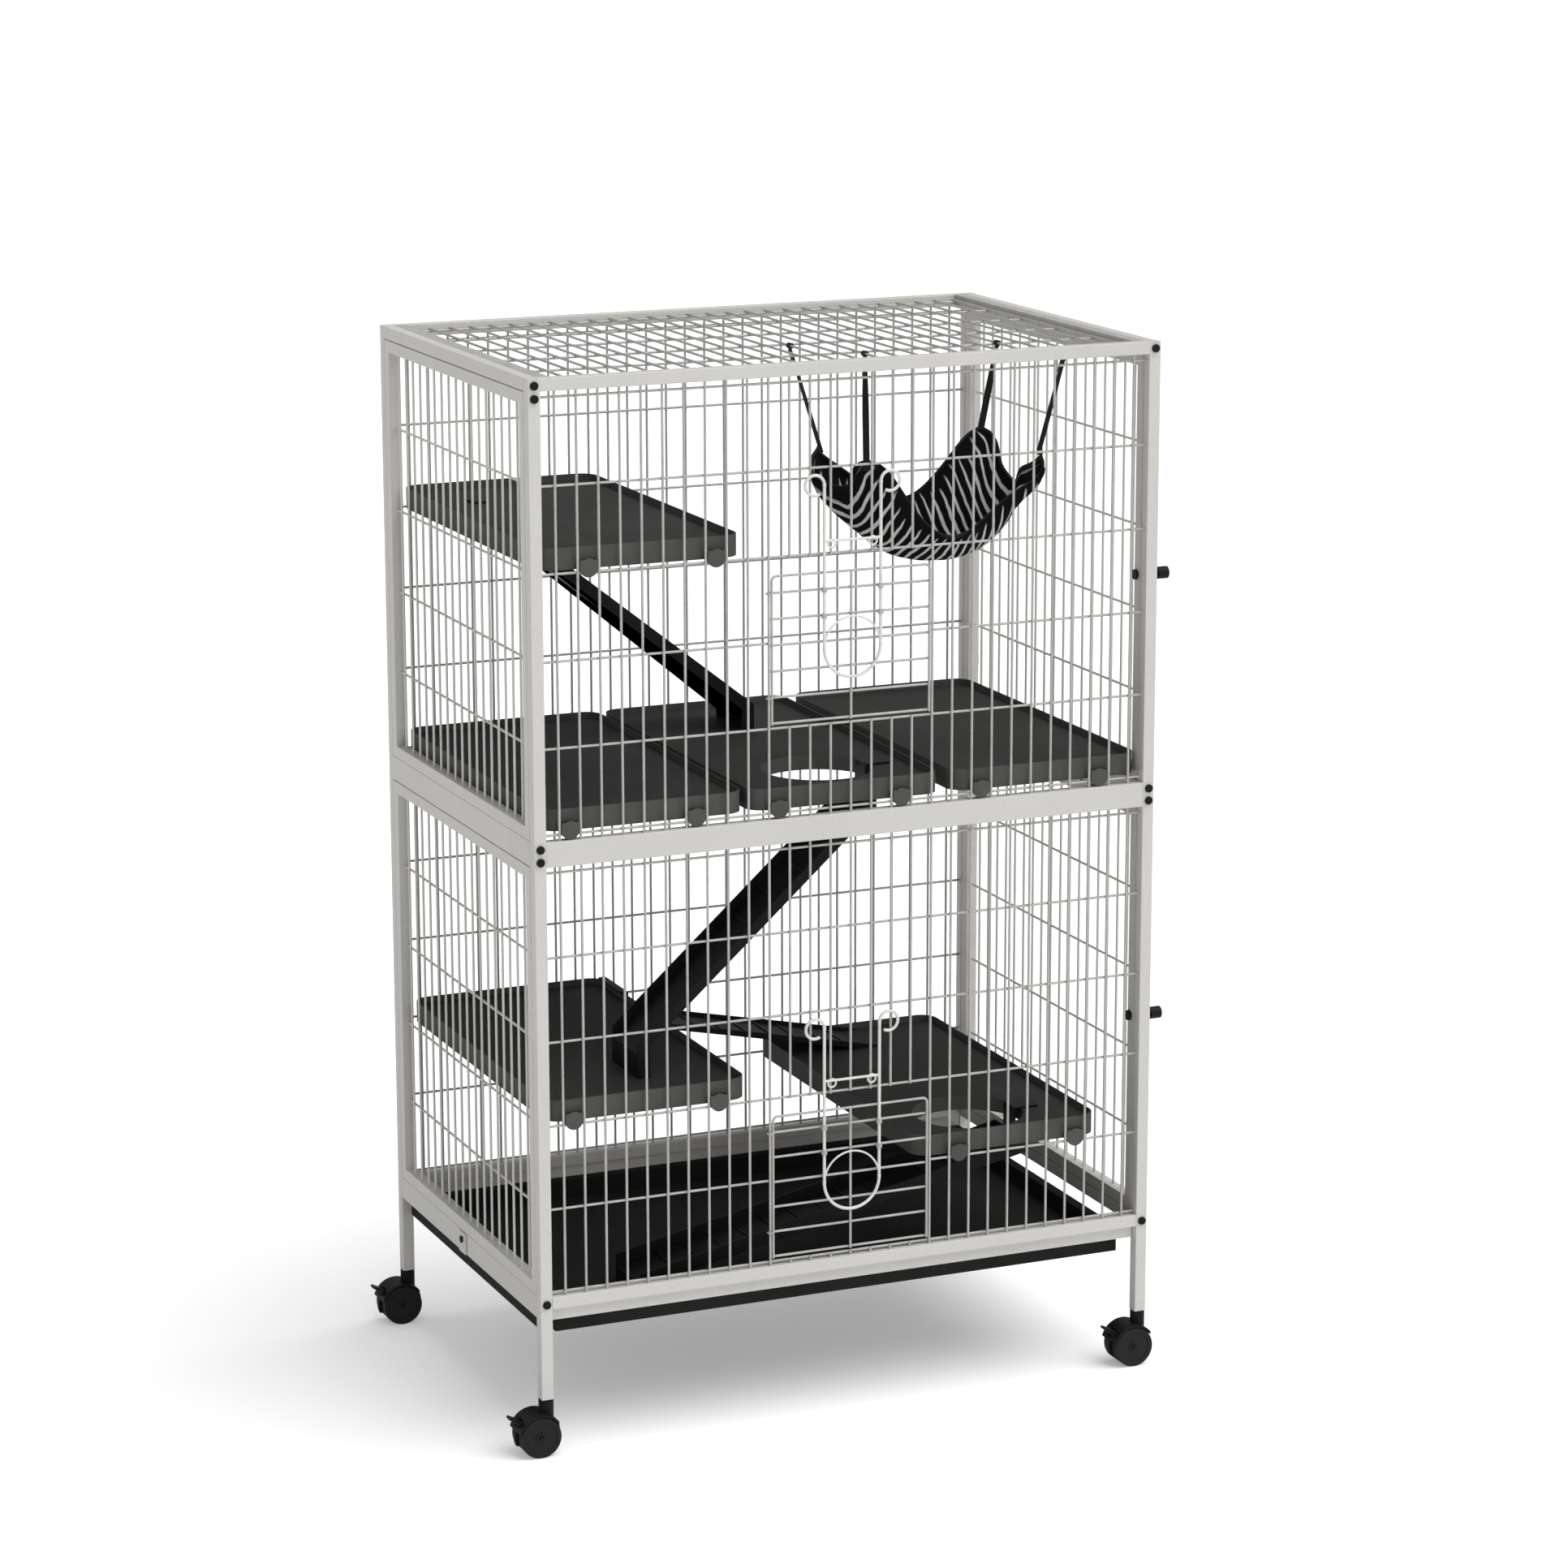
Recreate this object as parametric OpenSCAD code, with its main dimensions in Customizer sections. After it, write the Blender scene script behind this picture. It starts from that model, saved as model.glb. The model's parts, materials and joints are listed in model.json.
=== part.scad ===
// Tall ferret cage on casters: bolted square-tube frame, wire grids, framed
// side doors, two small wire doors with ring latches, hung shelves, ramps,
// a slide-out floor tray and a hammock. Millimetres, +Z up, front is -Y.

/* [Frame] */
// Overall width of the frame
frame_w = 800; // [790:1:810]
// Overall depth of the frame
frame_d = 525; // [520:1:530]
// Height of the frame top over the floor
frame_h = 1280; // [1276:1:1290]
// Side of the square frame tube
tube = 15; // [14.5:0.1:15.5]
// Wall of every tube
tube_wall = 1.2; // [1:0.1:1.5]
// Height of the leg bottoms over the floor
leg_z = 68; // [66:1:72]
// Underside of the bottom rails
low_rail_z = 179; // [178:0.5:181]
// Underside of the middle rails
mid_rail_z = 713.5; // [712:0.5:715]
// Height of the middle rails
mid_rail_h = 30; // [28:0.5:31]
// Diameter of the black bolt caps
cap_d = 10; // [8:0.5:12]
// How far a bolt cap stands out
cap_t = 3; // [2:0.5:4]
// Diameter of the frame bolts
bolt_d = 5.8; // [5:0.1:6]

/* [Wire] */
// Diameter of the grid wire
wire_d = 3; // [2.6:0.1:3.2]
// Spacing of the upright wires
pitch = 26.2; // [26:0.1:26.4]
// Spacing of the level wires
cross_pitch = 101.5; // [101:0.1:102]
// First level wire over the middle rail
up_lift = 6.5; // [6:0.1:7]
// First level wire over the bottom rail
low_lift = 4; // [3.5:0.1:4.5]
// Gap round the side panels and side doors
panel_gap = 1; // [0.8:0.1:1.5]

/* [Small doors] */
// Wire of the small door's bars
door_wire_d = 3; // [2.6:0.1:3]
// Wire of the ring latch
latch_wire_d = 3.8; // [3.4:0.1:4]
// Ring latch: half the distance between its two rods
latch_half_w = 36; // [34:0.5:38]
// Ring latch: top of the rods over the door's bottom bar
latch_rise = 278.5; // [270:0.5:285]

/* [Shelves] */
// Depth of a hung shelf
shelf_d = 490; // [486:1:492]
// Height of a shelf's edge
shelf_h = 26; // [24:0.5:28]
// Wall of the shelves
shelf_wall = 2.5; // [2:0.1:3]
// Height of a shelf's rim over its floor
shelf_rim = 8; // [7:0.5:10]
// Corner radius of the shelves
shelf_r = 22; // [18:1:26]
// Width of a shelf hook
hook_w = 22; // [20:0.5:22.2]
// Radius of the hole a ramp leads to
hole_r = 68.5; // [67:0.5:70]

/* [Ramps] */
// Width of a ramp
ramp_w = 86; // [82:1:90]
// Plate thickness of the ramps
ramp_t = 3; // [2.5:0.1:3.5]
// Upright height of a ramp's edge
ramp_edge = 18; // [16:0.5:20]

/* [Floor tray] */
// Gap between the floor tray's rim and the posts at each end
tray_end = 2; // [1.5:0.5:8]
// Depth of the floor tray's body
tray_d = 470; // [460:1:476]
// Depth of the pan under its rim
tray_h = 25; // [22:0.5:27]

/* [Casters] */
// Wheel diameter
wheel_d = 50; // [48:0.5:51]
// Width of one wheel disc
wheel_w = 14; // [12:0.5:14.5]
// How far the axle trails behind the stem
trail = 12; // [11:0.5:13]

/* [Hammock] */
// Lowest point of the cloth under the top frame
hammock_drop = 248; // [235:1:260]
// Cloth thickness
cloth_t = 4; // [3:0.5:5]

/* [Hidden] */
$fn = 48;
hw = frame_w / 2;
hd = frame_d / 2;
in_x = hw - tube;
in_y = hd - tube;
post_x = hw - tube / 2;
post_y = hd - tube / 2;
mid_top = mid_rail_z + mid_rail_h;
low_top = low_rail_z + tube;
roof_z = frame_h - tube;
up_level = mid_top + up_lift;
low_level = low_top + low_lift;
side_n = floor((in_y - tube - panel_gap - wire_d) / pitch);
front_n = floor((in_x - wire_d) / pitch);
weld = 0.42 * wire_d;
grid_y = hd - 6.5;
bar_y = grid_y + weld;
cross_y = grid_y - weld;
doorway_k = 4;
doorway_x = doorway_k * pitch;
seat = 0.2;
// bolts: heights on a post, and the one more that holds a left panel
bolt_z = [frame_h - 8, mid_rail_z + 22.5, mid_rail_z + 7.5, low_rail_z + 7];
panel_bolt_z = frame_h - 23;
bolt_hole = bolt_d + 0.6;
// side doors
door_lo = 1.5;
hinge_x = hw + 4;
hinge_y = in_y + 1;
hinge_r = 3.5;
pin_r = 1.5;
knuckle = 12;
knuckle_gap = 0.4;
leaf_t = 1.5;
leaf_w = 13;
knob_y = in_y - panel_gap - tube / 2;
knob_up_z = 996;
knob_low_z = 445;
knob_d = 15;
shaft_d = 6;
cam_r = 7.4;
hinge_up = [roof_z - 62, mid_top + 60];
hinge_low = [mid_rail_z - 62, low_top + 60];
// small doors and latches
sd_x = doorway_x - wire_d / 2 - door_wire_d / 2 - 0.8;
sd_bars = [0, 31, 62, 93, 124, 155, 175];
sd_drop = 6;
sd_lean = 0.42 * door_wire_d;
sd_front = bar_y;
sd_back = bar_y - 2 * sd_lean;
eye_r = 1;
eye_ring = wire_d / 2 + 0.5 + eye_r;
latch_y = bar_y + door_wire_d / 2 + 0.5 + latch_wire_d / 2;
ring_lift = 85.5;
latch_cross = 212.5;
curl_r = 12;
hang_r = 5;
thin_d = 2.4;
guide_in = latch_wire_d / 2 + 0.4;
guide_out = guide_in + 1.2;
// shelves
shelf_front = -hd + 12.5;
shelf_back = shelf_front + shelf_d;
shelf_rise = 3;
floor_t = 3;
hook_out = bar_y + 2;
hook_in = cross_y + wire_d / 2 + 0.45;
hook_drop = 6;
hook_up = 14;
shelf_gap = 1;
up_shelf = up_level + 3 * cross_pitch;
low_l_shelf = low_level + 2 * cross_pitch;
low_r_shelf = low_level + cross_pitch;
left_end = -in_x + shelf_gap;
up_l_end = left_end + 0.3234 * 2 * in_x;
mid_l_end = left_end + 0.3273 * 2 * in_x;
low_l_end = left_end + 0.3299 * 2 * in_x;
mid_r_start = in_x - shelf_gap - 0.3221 * 2 * in_x;
mid_start = mid_l_end + 7;
mid_end = mid_r_start - 15;
low_r_start = 0.2338 * in_x;
low_r_end = 0.8727 * in_x;
no_hole = [];
mid_hole = [mid_start + 134, -138];
low_hole = [low_r_start + 113, -158];
no_slot = [];
up_slot = [left_end + 67.5, 133];
slot_l = 40;
slot_w = 7;
tongue_w = 30;
rim_lip = 30;
slot_lip = 16;
// distance of a ramp's head from the middle of its hole, and its drop under the shelf
head_out = 59;
head_drop = 11;
// floor tray and its runners
tray_l = 2 * (in_x - tray_end);
run_z = low_rail_z - 16;
run_t = 1.5;
run_y = in_y + 5;
rim_z = run_z + run_t + seat;
rim_t = 1.5;
pan_z = rim_z + rim_t - tray_h;
clip_y = 11;
clip_z = rim_z + rim_t + 18;
clip_t = 1.5;
clip_gap = 0.4;
screw_d = 4;
// casters
axle_z = wheel_d / 2;
hub_d = 18;
stem_d = 8;
plug_d = tube - 2 * tube_wall - 0.4;
hood_gap = 1;
hood_t = 2.6;
web_w = 6;
wheel_gap = 0.6;
axle_d = 6;
brake_x = -trail - 23.4;
brake_z = axle_z + 18;
brake_w = 12;
frame_grey = [0.83, 0.82, 0.8];
wire_grey = [0.7, 0.69, 0.67];
black = [0.12, 0.12, 0.12];
pin_grey = [0.55, 0.55, 0.54];

// ---------- small shared shapes ----------
module wire_z(x, y, z0, z1, d) {
  translate([x, y, z0]) cylinder(d = d, h = z1 - z0, $fn = 24);
}

module wire_x(x0, x1, y, z, d) {
  translate([x0, y, z]) rotate([0, 90, 0]) cylinder(d = d, h = x1 - x0, $fn = 24);
}

module wire_y(x, y0, y1, z, d) {
  translate([x, y0, z]) rotate([-90, 0, 0]) cylinder(d = d, h = y1 - y0, $fn = 24);
}

// a ring of round wire standing in the XZ plane
module ring_xz(x, y, z, r, d) {
  translate([x, y, z]) rotate([90, 0, 0])
    rotate_extrude() translate([r, 0]) circle(d = d, $fn = 24);
}

// a hollow tube along x
module tube_x(x0, x1, y0, z0, h) {
  difference() {
    translate([x0, y0, z0]) cube([x1 - x0, tube, h]);
    translate([x0 - 1, y0 + tube_wall, z0 + tube_wall])
      cube([x1 - x0 + 2, tube - 2 * tube_wall, h - 2 * tube_wall]);
  }
}

// a hollow tube along y
module tube_y(x0, y0, y1, z0, h) {
  difference() {
    translate([x0, y0, z0]) cube([tube, y1 - y0, h]);
    translate([x0 + tube_wall, y0 - 1, z0 + tube_wall])
      cube([tube - 2 * tube_wall, y1 - y0 + 2, h - 2 * tube_wall]);
  }
}

// ---------- frame ----------
// side = -1 or 1 for left or right, end = -1 or 1 for front or back
module post(side, end) {
  color(frame_grey) difference() {
    translate([side * post_x - tube / 2, end * post_y - tube / 2, leg_z])
      cube([tube, tube, frame_h - leg_z]);
    translate([side * post_x - tube / 2 + tube_wall,
               end * post_y - tube / 2 + tube_wall, leg_z - 1])
      cube([tube - 2 * tube_wall, tube - 2 * tube_wall,
            frame_h - leg_z + 1 - tube_wall]);
    for (z = bolt_z)
      wire_y(side * post_x, end * post_y - tube, end * post_y + tube, z, bolt_hole);
    if (side < 0)
      wire_y(side * post_x, end * post_y - tube, end * post_y + tube,
             panel_bolt_z, bolt_hole);
  }
}

module front_left_post() { post(-1, -1); }

module front_right_post() { post(1, -1); }

module back_left_post() { post(-1, 1); }

module back_right_post() { post(1, 1); }

module cross_rail(end, z, h) {
  color(frame_grey)
    tube_x(-in_x, in_x, end * post_y - tube / 2, z, h);
}

module front_top_rail() { cross_rail(-1, roof_z, tube); }

module front_middle_rail() { cross_rail(-1, mid_rail_z, mid_rail_h); }

module front_bottom_rail() { cross_rail(-1, low_rail_z, tube); }

module back_top_rail() { cross_rail(1, roof_z, tube); }

module back_middle_rail() { cross_rail(1, mid_rail_z, mid_rail_h); }

module back_bottom_rail() { cross_rail(1, low_rail_z, tube); }

module side_rails(side) {
  x0 = side * post_x - tube / 2;
  color(frame_grey) {
    tube_y(x0, -in_y, in_y, roof_z, tube);
    tube_y(x0, -in_y, in_y, mid_rail_z, mid_rail_h);
    tube_y(x0, -in_y, in_y, low_rail_z, tube);
  }
}

// the lower left rail has a skirt over the tray and takes the screw of its clip
module left_side_rails() {
  skirt_z = rim_z + rim_t + 0.6;
  difference() {
    union() {
      side_rails(-1);
      color(frame_grey) translate([-hw, -in_y, skirt_z])
        cube([tube_wall, 2 * in_y, low_rail_z - skirt_z + 1]);
    }
    wire_x(-hw - 2, -hw + 4, clip_y, clip_z, screw_d + 0.4);
  }
}

module right_side_rails() { side_rails(1); }

// cap outside, shank through the post into the end of a side tube
module bolt(side, end, z) {
  translate([side * post_x, end * hd, z]) rotate([-90 * end, 0, 0]) {
    cylinder(d = cap_d, h = cap_t);
    translate([0, 0, -tube - 6]) cylinder(d = bolt_d, h = tube + 6 + 0.5);
  }
}

module frame_bolts() {
  color(black) {
    for (side = [-1, 1], end = [-1, 1], z = bolt_z) bolt(side, end, z);
    for (end = [-1, 1]) bolt(-1, end, panel_bolt_z);
    wire_x(-hw - clip_gap - clip_t - 0.4 - 2, -hw - clip_gap - clip_t - 0.4,
           clip_y, clip_z, 9);
    wire_x(-hw - clip_gap - clip_t - 1, -hw + 5, clip_y, clip_z, screw_d);
  }
}

// ---------- wire grids ----------
// number of the last level wire that stays under height z
function levels_under(z, lift_z) = floor((z - lift_z - wire_d) / cross_pitch);

// uprights from z0 to z1; levels from lift_z; doorway from level lo to level hi
module wire_wall(z0, z1, lift_z, lo, hi) {
  dz0 = lift_z + lo * cross_pitch;
  dz1 = lift_z + hi * cross_pitch;
  open = hi > lo;
  color(wire_grey) union() {
    for (k = [-front_n:front_n])
      if (open && abs(k) < doorway_k) {
        wire_z(k * pitch, -bar_y, z0, dz0 + weld, wire_d);
        wire_z(k * pitch, -bar_y, dz1 - weld, z1, wire_d);
      }
      else wire_z(k * pitch, -bar_y, z0, z1, wire_d);
    for (j = [0:levels_under(z1, lift_z)])
      if (open && j > lo && j < hi) {
        wire_x(-in_x, -doorway_x, -cross_y, lift_z + j * cross_pitch, wire_d);
        wire_x(doorway_x, in_x, -cross_y, lift_z + j * cross_pitch, wire_d);
      }
      else wire_x(-in_x, in_x, -cross_y, lift_z + j * cross_pitch, wire_d);
  }
}

module front_upper_grid() { wire_wall(mid_top, roof_z, up_level, 1, 3); }

module front_lower_grid() { wire_wall(low_top, mid_rail_z, low_level, 0, 2); }

module back_upper_grid() {
  mirror([0, 1, 0]) wire_wall(mid_top, roof_z, up_level, 0, 0);
}

module back_lower_grid() {
  mirror([0, 1, 0]) wire_wall(low_top, mid_rail_z, low_level, 0, 0);
}

module top_grid() {
  z = roof_z + tube / 2;
  bar_x = in_x - 0.3;
  lid_x = bar_x - tube;
  color(wire_grey) union() {
    tube_y(-bar_x, -in_y, in_y, roof_z, tube);
    tube_y(bar_x - tube, -in_y, in_y, roof_z, tube);
    for (k = [-front_n:front_n])
      if (abs(k) * pitch < lid_x - wire_d / 2)
        wire_y(k * pitch, -in_y, in_y, z + weld, wire_d);
    for (y = [-242.5, -145.5, -48.5, 48.5, 145.5, 242.5])
      wire_x(-lid_x - 0.6, lid_x + 0.6, y, z - weld, wire_d);
  }
}

// ---------- framed side panels and side doors ----------
// local x runs from 0 (outside) to tube (inside)
module framed_panel(z0, z1, lift_z) {
  py = in_y - panel_gap;
  w = tube_wall;
  difference() {
    translate([0, -py, z0]) cube([tube, 2 * py, z1 - z0]);
    translate([-1, -py + tube, z0 + tube])
      cube([tube + 2, 2 * (py - tube), z1 - z0 - 2 * tube]);
    difference() {
      translate([w, -py + w, z0 + w])
        cube([tube - 2 * w, 2 * (py - w), z1 - z0 - 2 * w]);
      translate([0, -py + tube - w, z0 + tube - w])
        cube([tube, 2 * (py - tube + w), z1 - z0 - 2 * (tube - w)]);
    }
  }
  for (k = [-side_n:side_n])
    wire_z(tube / 2 - weld, k * pitch, z0 + tube - 0.6, z1 - tube + 0.6, wire_d);
  for (j = [1:levels_under(z1 - tube, lift_z)])
    translate([tube / 2 + weld, -py + tube - 0.6, lift_z + j * cross_pitch])
      rotate([-90, 0, 0])
        cylinder(d = wire_d, h = 2 * (py - tube + 0.6), $fn = 24);
}

module left_panel(z0, z1, lift_z, bolted) {
  color(frame_grey) difference() {
    translate([-hw, 0, 0]) framed_panel(z0, z1, lift_z);
    if (bolted) for (end = [-1, 1])
      wire_y(-post_x, end * post_y - tube, end * post_y + tube,
             panel_bolt_z, bolt_hole);
  }
}

module left_upper_panel() { left_panel(mid_top, roof_z - panel_gap, up_level, true); }

module left_lower_panel() {
  left_panel(low_top, mid_rail_z - panel_gap, low_level, false);
}

// hinge half on the door: a leaf on the stile and one knuckle
module door_knuckle(z) {
  difference() {
    union() {
      translate([hinge_x, hinge_y, z - knuckle / 2]) cylinder(r = hinge_r, h = knuckle);
      translate([hw - 0.2, hinge_y - leaf_w - 2, z - knuckle / 2])
        cube([leaf_t + 0.2, leaf_w, knuckle]);
      translate([hw + 0.35, hinge_y - 4, z - knuckle / 2])
        cube([leaf_t - 0.35, 4, knuckle]);
    }
    translate([hinge_x, hinge_y, z - knuckle])
      cylinder(r = pin_r + 0.4, h = 2 * knuckle);
  }
}

module side_door(z0, z1, lift_z, knob_z, hinges) {
  color(frame_grey) difference() {
    union() {
      translate([hw, 0, 0]) mirror([1, 0, 0]) framed_panel(z0, z1, lift_z);
      for (z = hinges) door_knuckle(z);
    }
    wire_x(hw - 2 * tube, hw + tube, -knob_y, knob_z, shaft_d + 0.8);
  }
}

module right_upper_door() {
  side_door(mid_top + door_lo, roof_z - door_lo, up_level, knob_up_z, hinge_up);
}

module right_lower_door() {
  side_door(low_top + door_lo, mid_rail_z - door_lo, low_level, knob_low_z, hinge_low);
}

// hinge half on the post: leaf, two knuckles and the pin
module post_hinge(z) {
  tall = 3 * knuckle + 2 * knuckle_gap;
  difference() {
    union() {
      translate([hinge_x, hinge_y, z - tall / 2]) cylinder(r = hinge_r, h = tall);
      translate([hw, hinge_y + 0.6, z - tall / 2])
        cube([leaf_t, leaf_w - 1.6, tall]);
    }
    translate([hw - 5, hinge_y - 20, z - knuckle / 2 - knuckle_gap])
      cube([20, 40, knuckle + 2 * knuckle_gap]);
  }
  translate([hinge_x, hinge_y, z - tall / 2]) cylinder(r = pin_r, h = tall);
}

module side_door_hinges() {
  color(pin_grey) {
    for (z = hinge_up) post_hinge(z);
    for (z = hinge_low) post_hinge(z);
  }
}

// turn knob: head outside, shaft through the stile, round cam inside
module door_knob(z) {
  color(black) translate([hw, -knob_y, z]) rotate([0, 90, 0]) {
    translate([0, 0, 0.5]) cylinder(d = knob_d, h = 3);
    translate([0, 0, 3]) cylinder(d = knob_d - 5, h = 9);
    translate([0, 0, 11]) cylinder(d = knob_d, h = 14);
    translate([0, 0, -tube - 4]) cylinder(d = shaft_d, h = tube + 6);
    translate([0, 1.2, -tube - 4]) cylinder(r = cam_r - 1.2, h = 3);
  }
}

module upper_door_knob() { door_knob(knob_up_z); }

module lower_door_knob() { door_knob(knob_low_z); }

// ---------- small wire doors ----------
// z0 is the level wire under the doorway
module small_door(z0) {
  zb = z0 + sd_drop;
  top = sd_bars[len(sd_bars) - 1];
  round_r = 6;
  color(wire_grey) union() {
    for (x = [-sd_x, sd_x])
      wire_z(x, -sd_front, zb - door_wire_d / 2, zb + top - round_r, door_wire_d);
    wire_z(0, -sd_front, zb - door_wire_d / 2, zb + top + 0.5, door_wire_d);
    for (b = sd_bars)
      if (b < top) wire_x(-sd_x - 0.8, sd_x + 0.8, -sd_back, zb + b, door_wire_d);
    wire_x(-sd_x + round_r, sd_x - round_r, -sd_front, zb + top, door_wire_d);
    for (side = [-1, 1])
      translate([side * (sd_x - round_r), -sd_front, zb + top - round_r])
        rotate([90, 0, 0]) rotate([0, 0, side > 0 ? 0 : 90])
          rotate_extrude(angle = 90) translate([round_r, 0])
            circle(d = door_wire_d, $fn = 24);
    // eyes that turn on the doorway's left upright
    for (b = [sd_bars[1], sd_bars[5]]) {
      translate([-doorway_x, -bar_y, zb + b])
        rotate_extrude() translate([eye_ring, 0]) circle(r = eye_r, $fn = 24);
      wire_x(-doorway_x + eye_ring - 0.3, -sd_x + 1, -bar_y, zb + b, 2 * eye_r);
    }
    // guides for the rods of the ring latch
    for (x = [-latch_half_w, latch_half_w], b = [sd_bars[4], sd_bars[5]])
      latch_guide(x, zb + b);
  }
}

module latch_guide(x, z) {
  difference() {
    union() {
      translate([x, -latch_y, z - 2.5]) cylinder(r = guide_out, h = 5);
      translate([x - 1.5, -latch_y + guide_in + 0.3, z - 1.5])
        cube([3, latch_y - sd_back - guide_in - 0.3, 3]);
    }
    translate([x, -latch_y, z - 5]) cylinder(r = guide_in, h = 10);
  }
}

module upper_small_door() { small_door(up_level + cross_pitch); }

module lower_small_door() { small_door(low_level); }

// part of a wire ring in the XZ plane, from angle a0 over sweep degrees
module arc_xz(x, z, r, d, a0, sweep) {
  translate([x, -latch_y, z]) rotate([90, 0, 0]) rotate([0, 0, a0])
    rotate_extrude(angle = sweep) translate([r, 0]) circle(d = d, $fn = 24);
}

module ring_latch(z0) {
  d = latch_wire_d;
  zb = z0 + sd_drop;
  ring_z = zb + ring_lift;
  curl_z = zb + latch_rise;
  curl_x = latch_half_w + curl_r;
  color(wire_grey) union() {
    arc_xz(0, ring_z, latch_half_w, d, 180, 180);
    arc_xz(0, ring_z, latch_half_w, thin_d, 0, 180);
    for (x = [-latch_half_w, latch_half_w]) {
      wire_z(x, -latch_y, ring_z, curl_z, d);
      wire_z(x, -latch_y, ring_z - 1.5, ring_z + 1.5, d + 0.5);
      wire_z(x, -latch_y, curl_z - 1.5, curl_z + 1.5, d + 0.5);
    }
    arc_xz(curl_x, curl_z, curl_r, d, -120, 300);
    arc_xz(-curl_x, curl_z, curl_r, d, 0, 300);
    wire_x(-latch_half_w, latch_half_w, -latch_y, zb + latch_cross, thin_d + 0.8);
    for (x = [-26, 26]) ring_xz(x, -latch_y, zb + latch_cross - 3.2, hang_r, thin_d);
  }
}

module upper_ring_latch() { ring_latch(up_level + cross_pitch); }

module lower_ring_latch() { ring_latch(low_level); }

// ---------- floor tray ----------
module floor_tray() {
  hl = tray_l / 2;
  rim_y = in_y - 1;
  wall = 2.5;
  color(black) difference() {
    union() {
      translate([-hl, -rim_y, rim_z]) cube([tray_l, 2 * rim_y, rim_t]);
      translate([-hl + 11, -tray_d / 2, pan_z])
        cube([tray_l - 22, tray_d, tray_h - 0.5]);
      // turned-down pull edge at the left end
      translate([-hl - 5, -rim_y, pan_z + 1]) cube([2.5, 2 * rim_y, tray_h - 1]);
      translate([-hl - 5, -rim_y, rim_z]) cube([6, 2 * rim_y, rim_t]);
    }
    translate([-hl + 11 + wall, -tray_d / 2 + wall, pan_z + floor_t])
      cube([tray_l - 22 - 2 * wall, tray_d - 2 * wall, tray_h + 5]);
  }
}

// plate on the lower left rail that turns on its screw
module tray_clip() {
  color(frame_grey) difference() {
    translate([-hw - clip_gap - clip_t, clip_y - 12, rim_z + rim_t + 0.6])
      cube([clip_t, 24, 26]);
    wire_x(-hw - 5, -hw + 5, clip_y, clip_z, screw_d + 0.7);
  }
}

// angle strips under the front and back rails that carry the tray's rim
module tray_runners() {
  color(frame_grey) for (end = [-1, 1]) {
    translate([-in_x + 1, end * run_y - run_t / 2, run_z])
      cube([2 * in_x - 2, run_t, low_rail_z - run_z]);
    translate([-in_x + 1, end < 0 ? -run_y : run_y - 12, run_z])
      cube([2 * in_x - 2, 12, run_t]);
  }
}

// ---------- shelves ----------
module round_box(l, w, h, r) {
  translate([r, 0, 0]) cube([l - 2 * r, w, h]);
  translate([0, r, 0]) cube([l, w - 2 * r, h]);
  for (x = [r, l - r], y = [r, w - r]) translate([x, y, 0]) cylinder(r = r, h = h);
}

// one hook over a level wire; k counts the gap between two uprights
module shelf_hook(k, level, end, from_y) {
  x = (k + 0.5) * pitch;
  y_out = end * hook_out;
  color(black) union() {
    translate([x - hook_w / 2, min(y_out, from_y), level + wire_d / 2 + seat])
      cube([hook_w, abs(y_out - from_y), hook_up - wire_d / 2 - seat]);
    translate([x - hook_w / 2, end < 0 ? y_out : hook_in, level + hook_w / 2 - hook_drop])
      cube([hook_w, hook_out - hook_in, hook_up - hook_w / 2 + hook_drop]);
    translate([x, end < 0 ? y_out : hook_in, level + hook_w / 2 - hook_drop])
      rotate([-90, 0, 0]) cylinder(d = hook_w, h = hook_out - hook_in);
  }
}

// height of the floor of a shelf that hangs on the given level wire
function shelf_top(level) = level + shelf_rise + shelf_h - shelf_rim;

// A pan with a low rim and a skirt under its floor.
// ends = distances of the two pairs of hooks from the shelf's two ends
module shelf(x0, x1, level, ends, hole, slot) {
  z = level + shelf_rise;
  l = x1 - x0;
  deep = shelf_h - shelf_rim - floor_t;
  gaps = [round((x0 + ends[0]) / pitch - 0.5), round((x1 - ends[1]) / pitch - 0.5)];
  color(black) difference() {
    union() {
      difference() {
        translate([x0, shelf_front, z]) round_box(l, shelf_d, shelf_h, shelf_r);
        for (dz = [-1, deep + floor_t])
          translate([x0 + shelf_wall, shelf_front + shelf_wall, z + dz])
            round_box(l - 2 * shelf_wall, shelf_d - 2 * shelf_wall,
                      dz < 0 ? deep + 1 : shelf_rim + 1, shelf_r - shelf_wall);
      }
      if (len(hole) > 0)
        translate([hole[0], hole[1], z])
          cylinder(r = hole_r + shelf_wall, h = deep + 1, $fn = 96);
      for (k = gaps) {
        shelf_hook(k, level, -1, shelf_front + shelf_wall);
        shelf_hook(k, level, 1, shelf_back - shelf_wall);
      }
    }
    if (len(hole) > 0)
      translate([hole[0], hole[1], z - 1]) cylinder(r = hole_r, h = shelf_h, $fn = 96);
    if (len(slot) > 0)
      translate([slot[0] - slot_w / 2, slot[1] - slot_l / 2, z])
        cube([slot_w, slot_l, shelf_h]);
  }
}

module upper_left_shelf() {
  shelf(left_end, up_l_end, up_shelf, [56, 35], no_hole, up_slot);
}

module middle_left_shelf() {
  shelf(left_end, mid_l_end, up_level, [30, 64], no_hole, no_slot);
}

module middle_centre_shelf() {
  shelf(mid_start, mid_end, up_level, [33, 55], mid_hole, no_slot);
}

module middle_right_shelf() {
  shelf(mid_r_start, in_x - shelf_gap, up_level, [34, 56], no_hole, no_slot);
}

module lower_left_shelf() {
  shelf(left_end, low_l_end, low_l_shelf, [30, 40], no_hole, no_slot);
}

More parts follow.
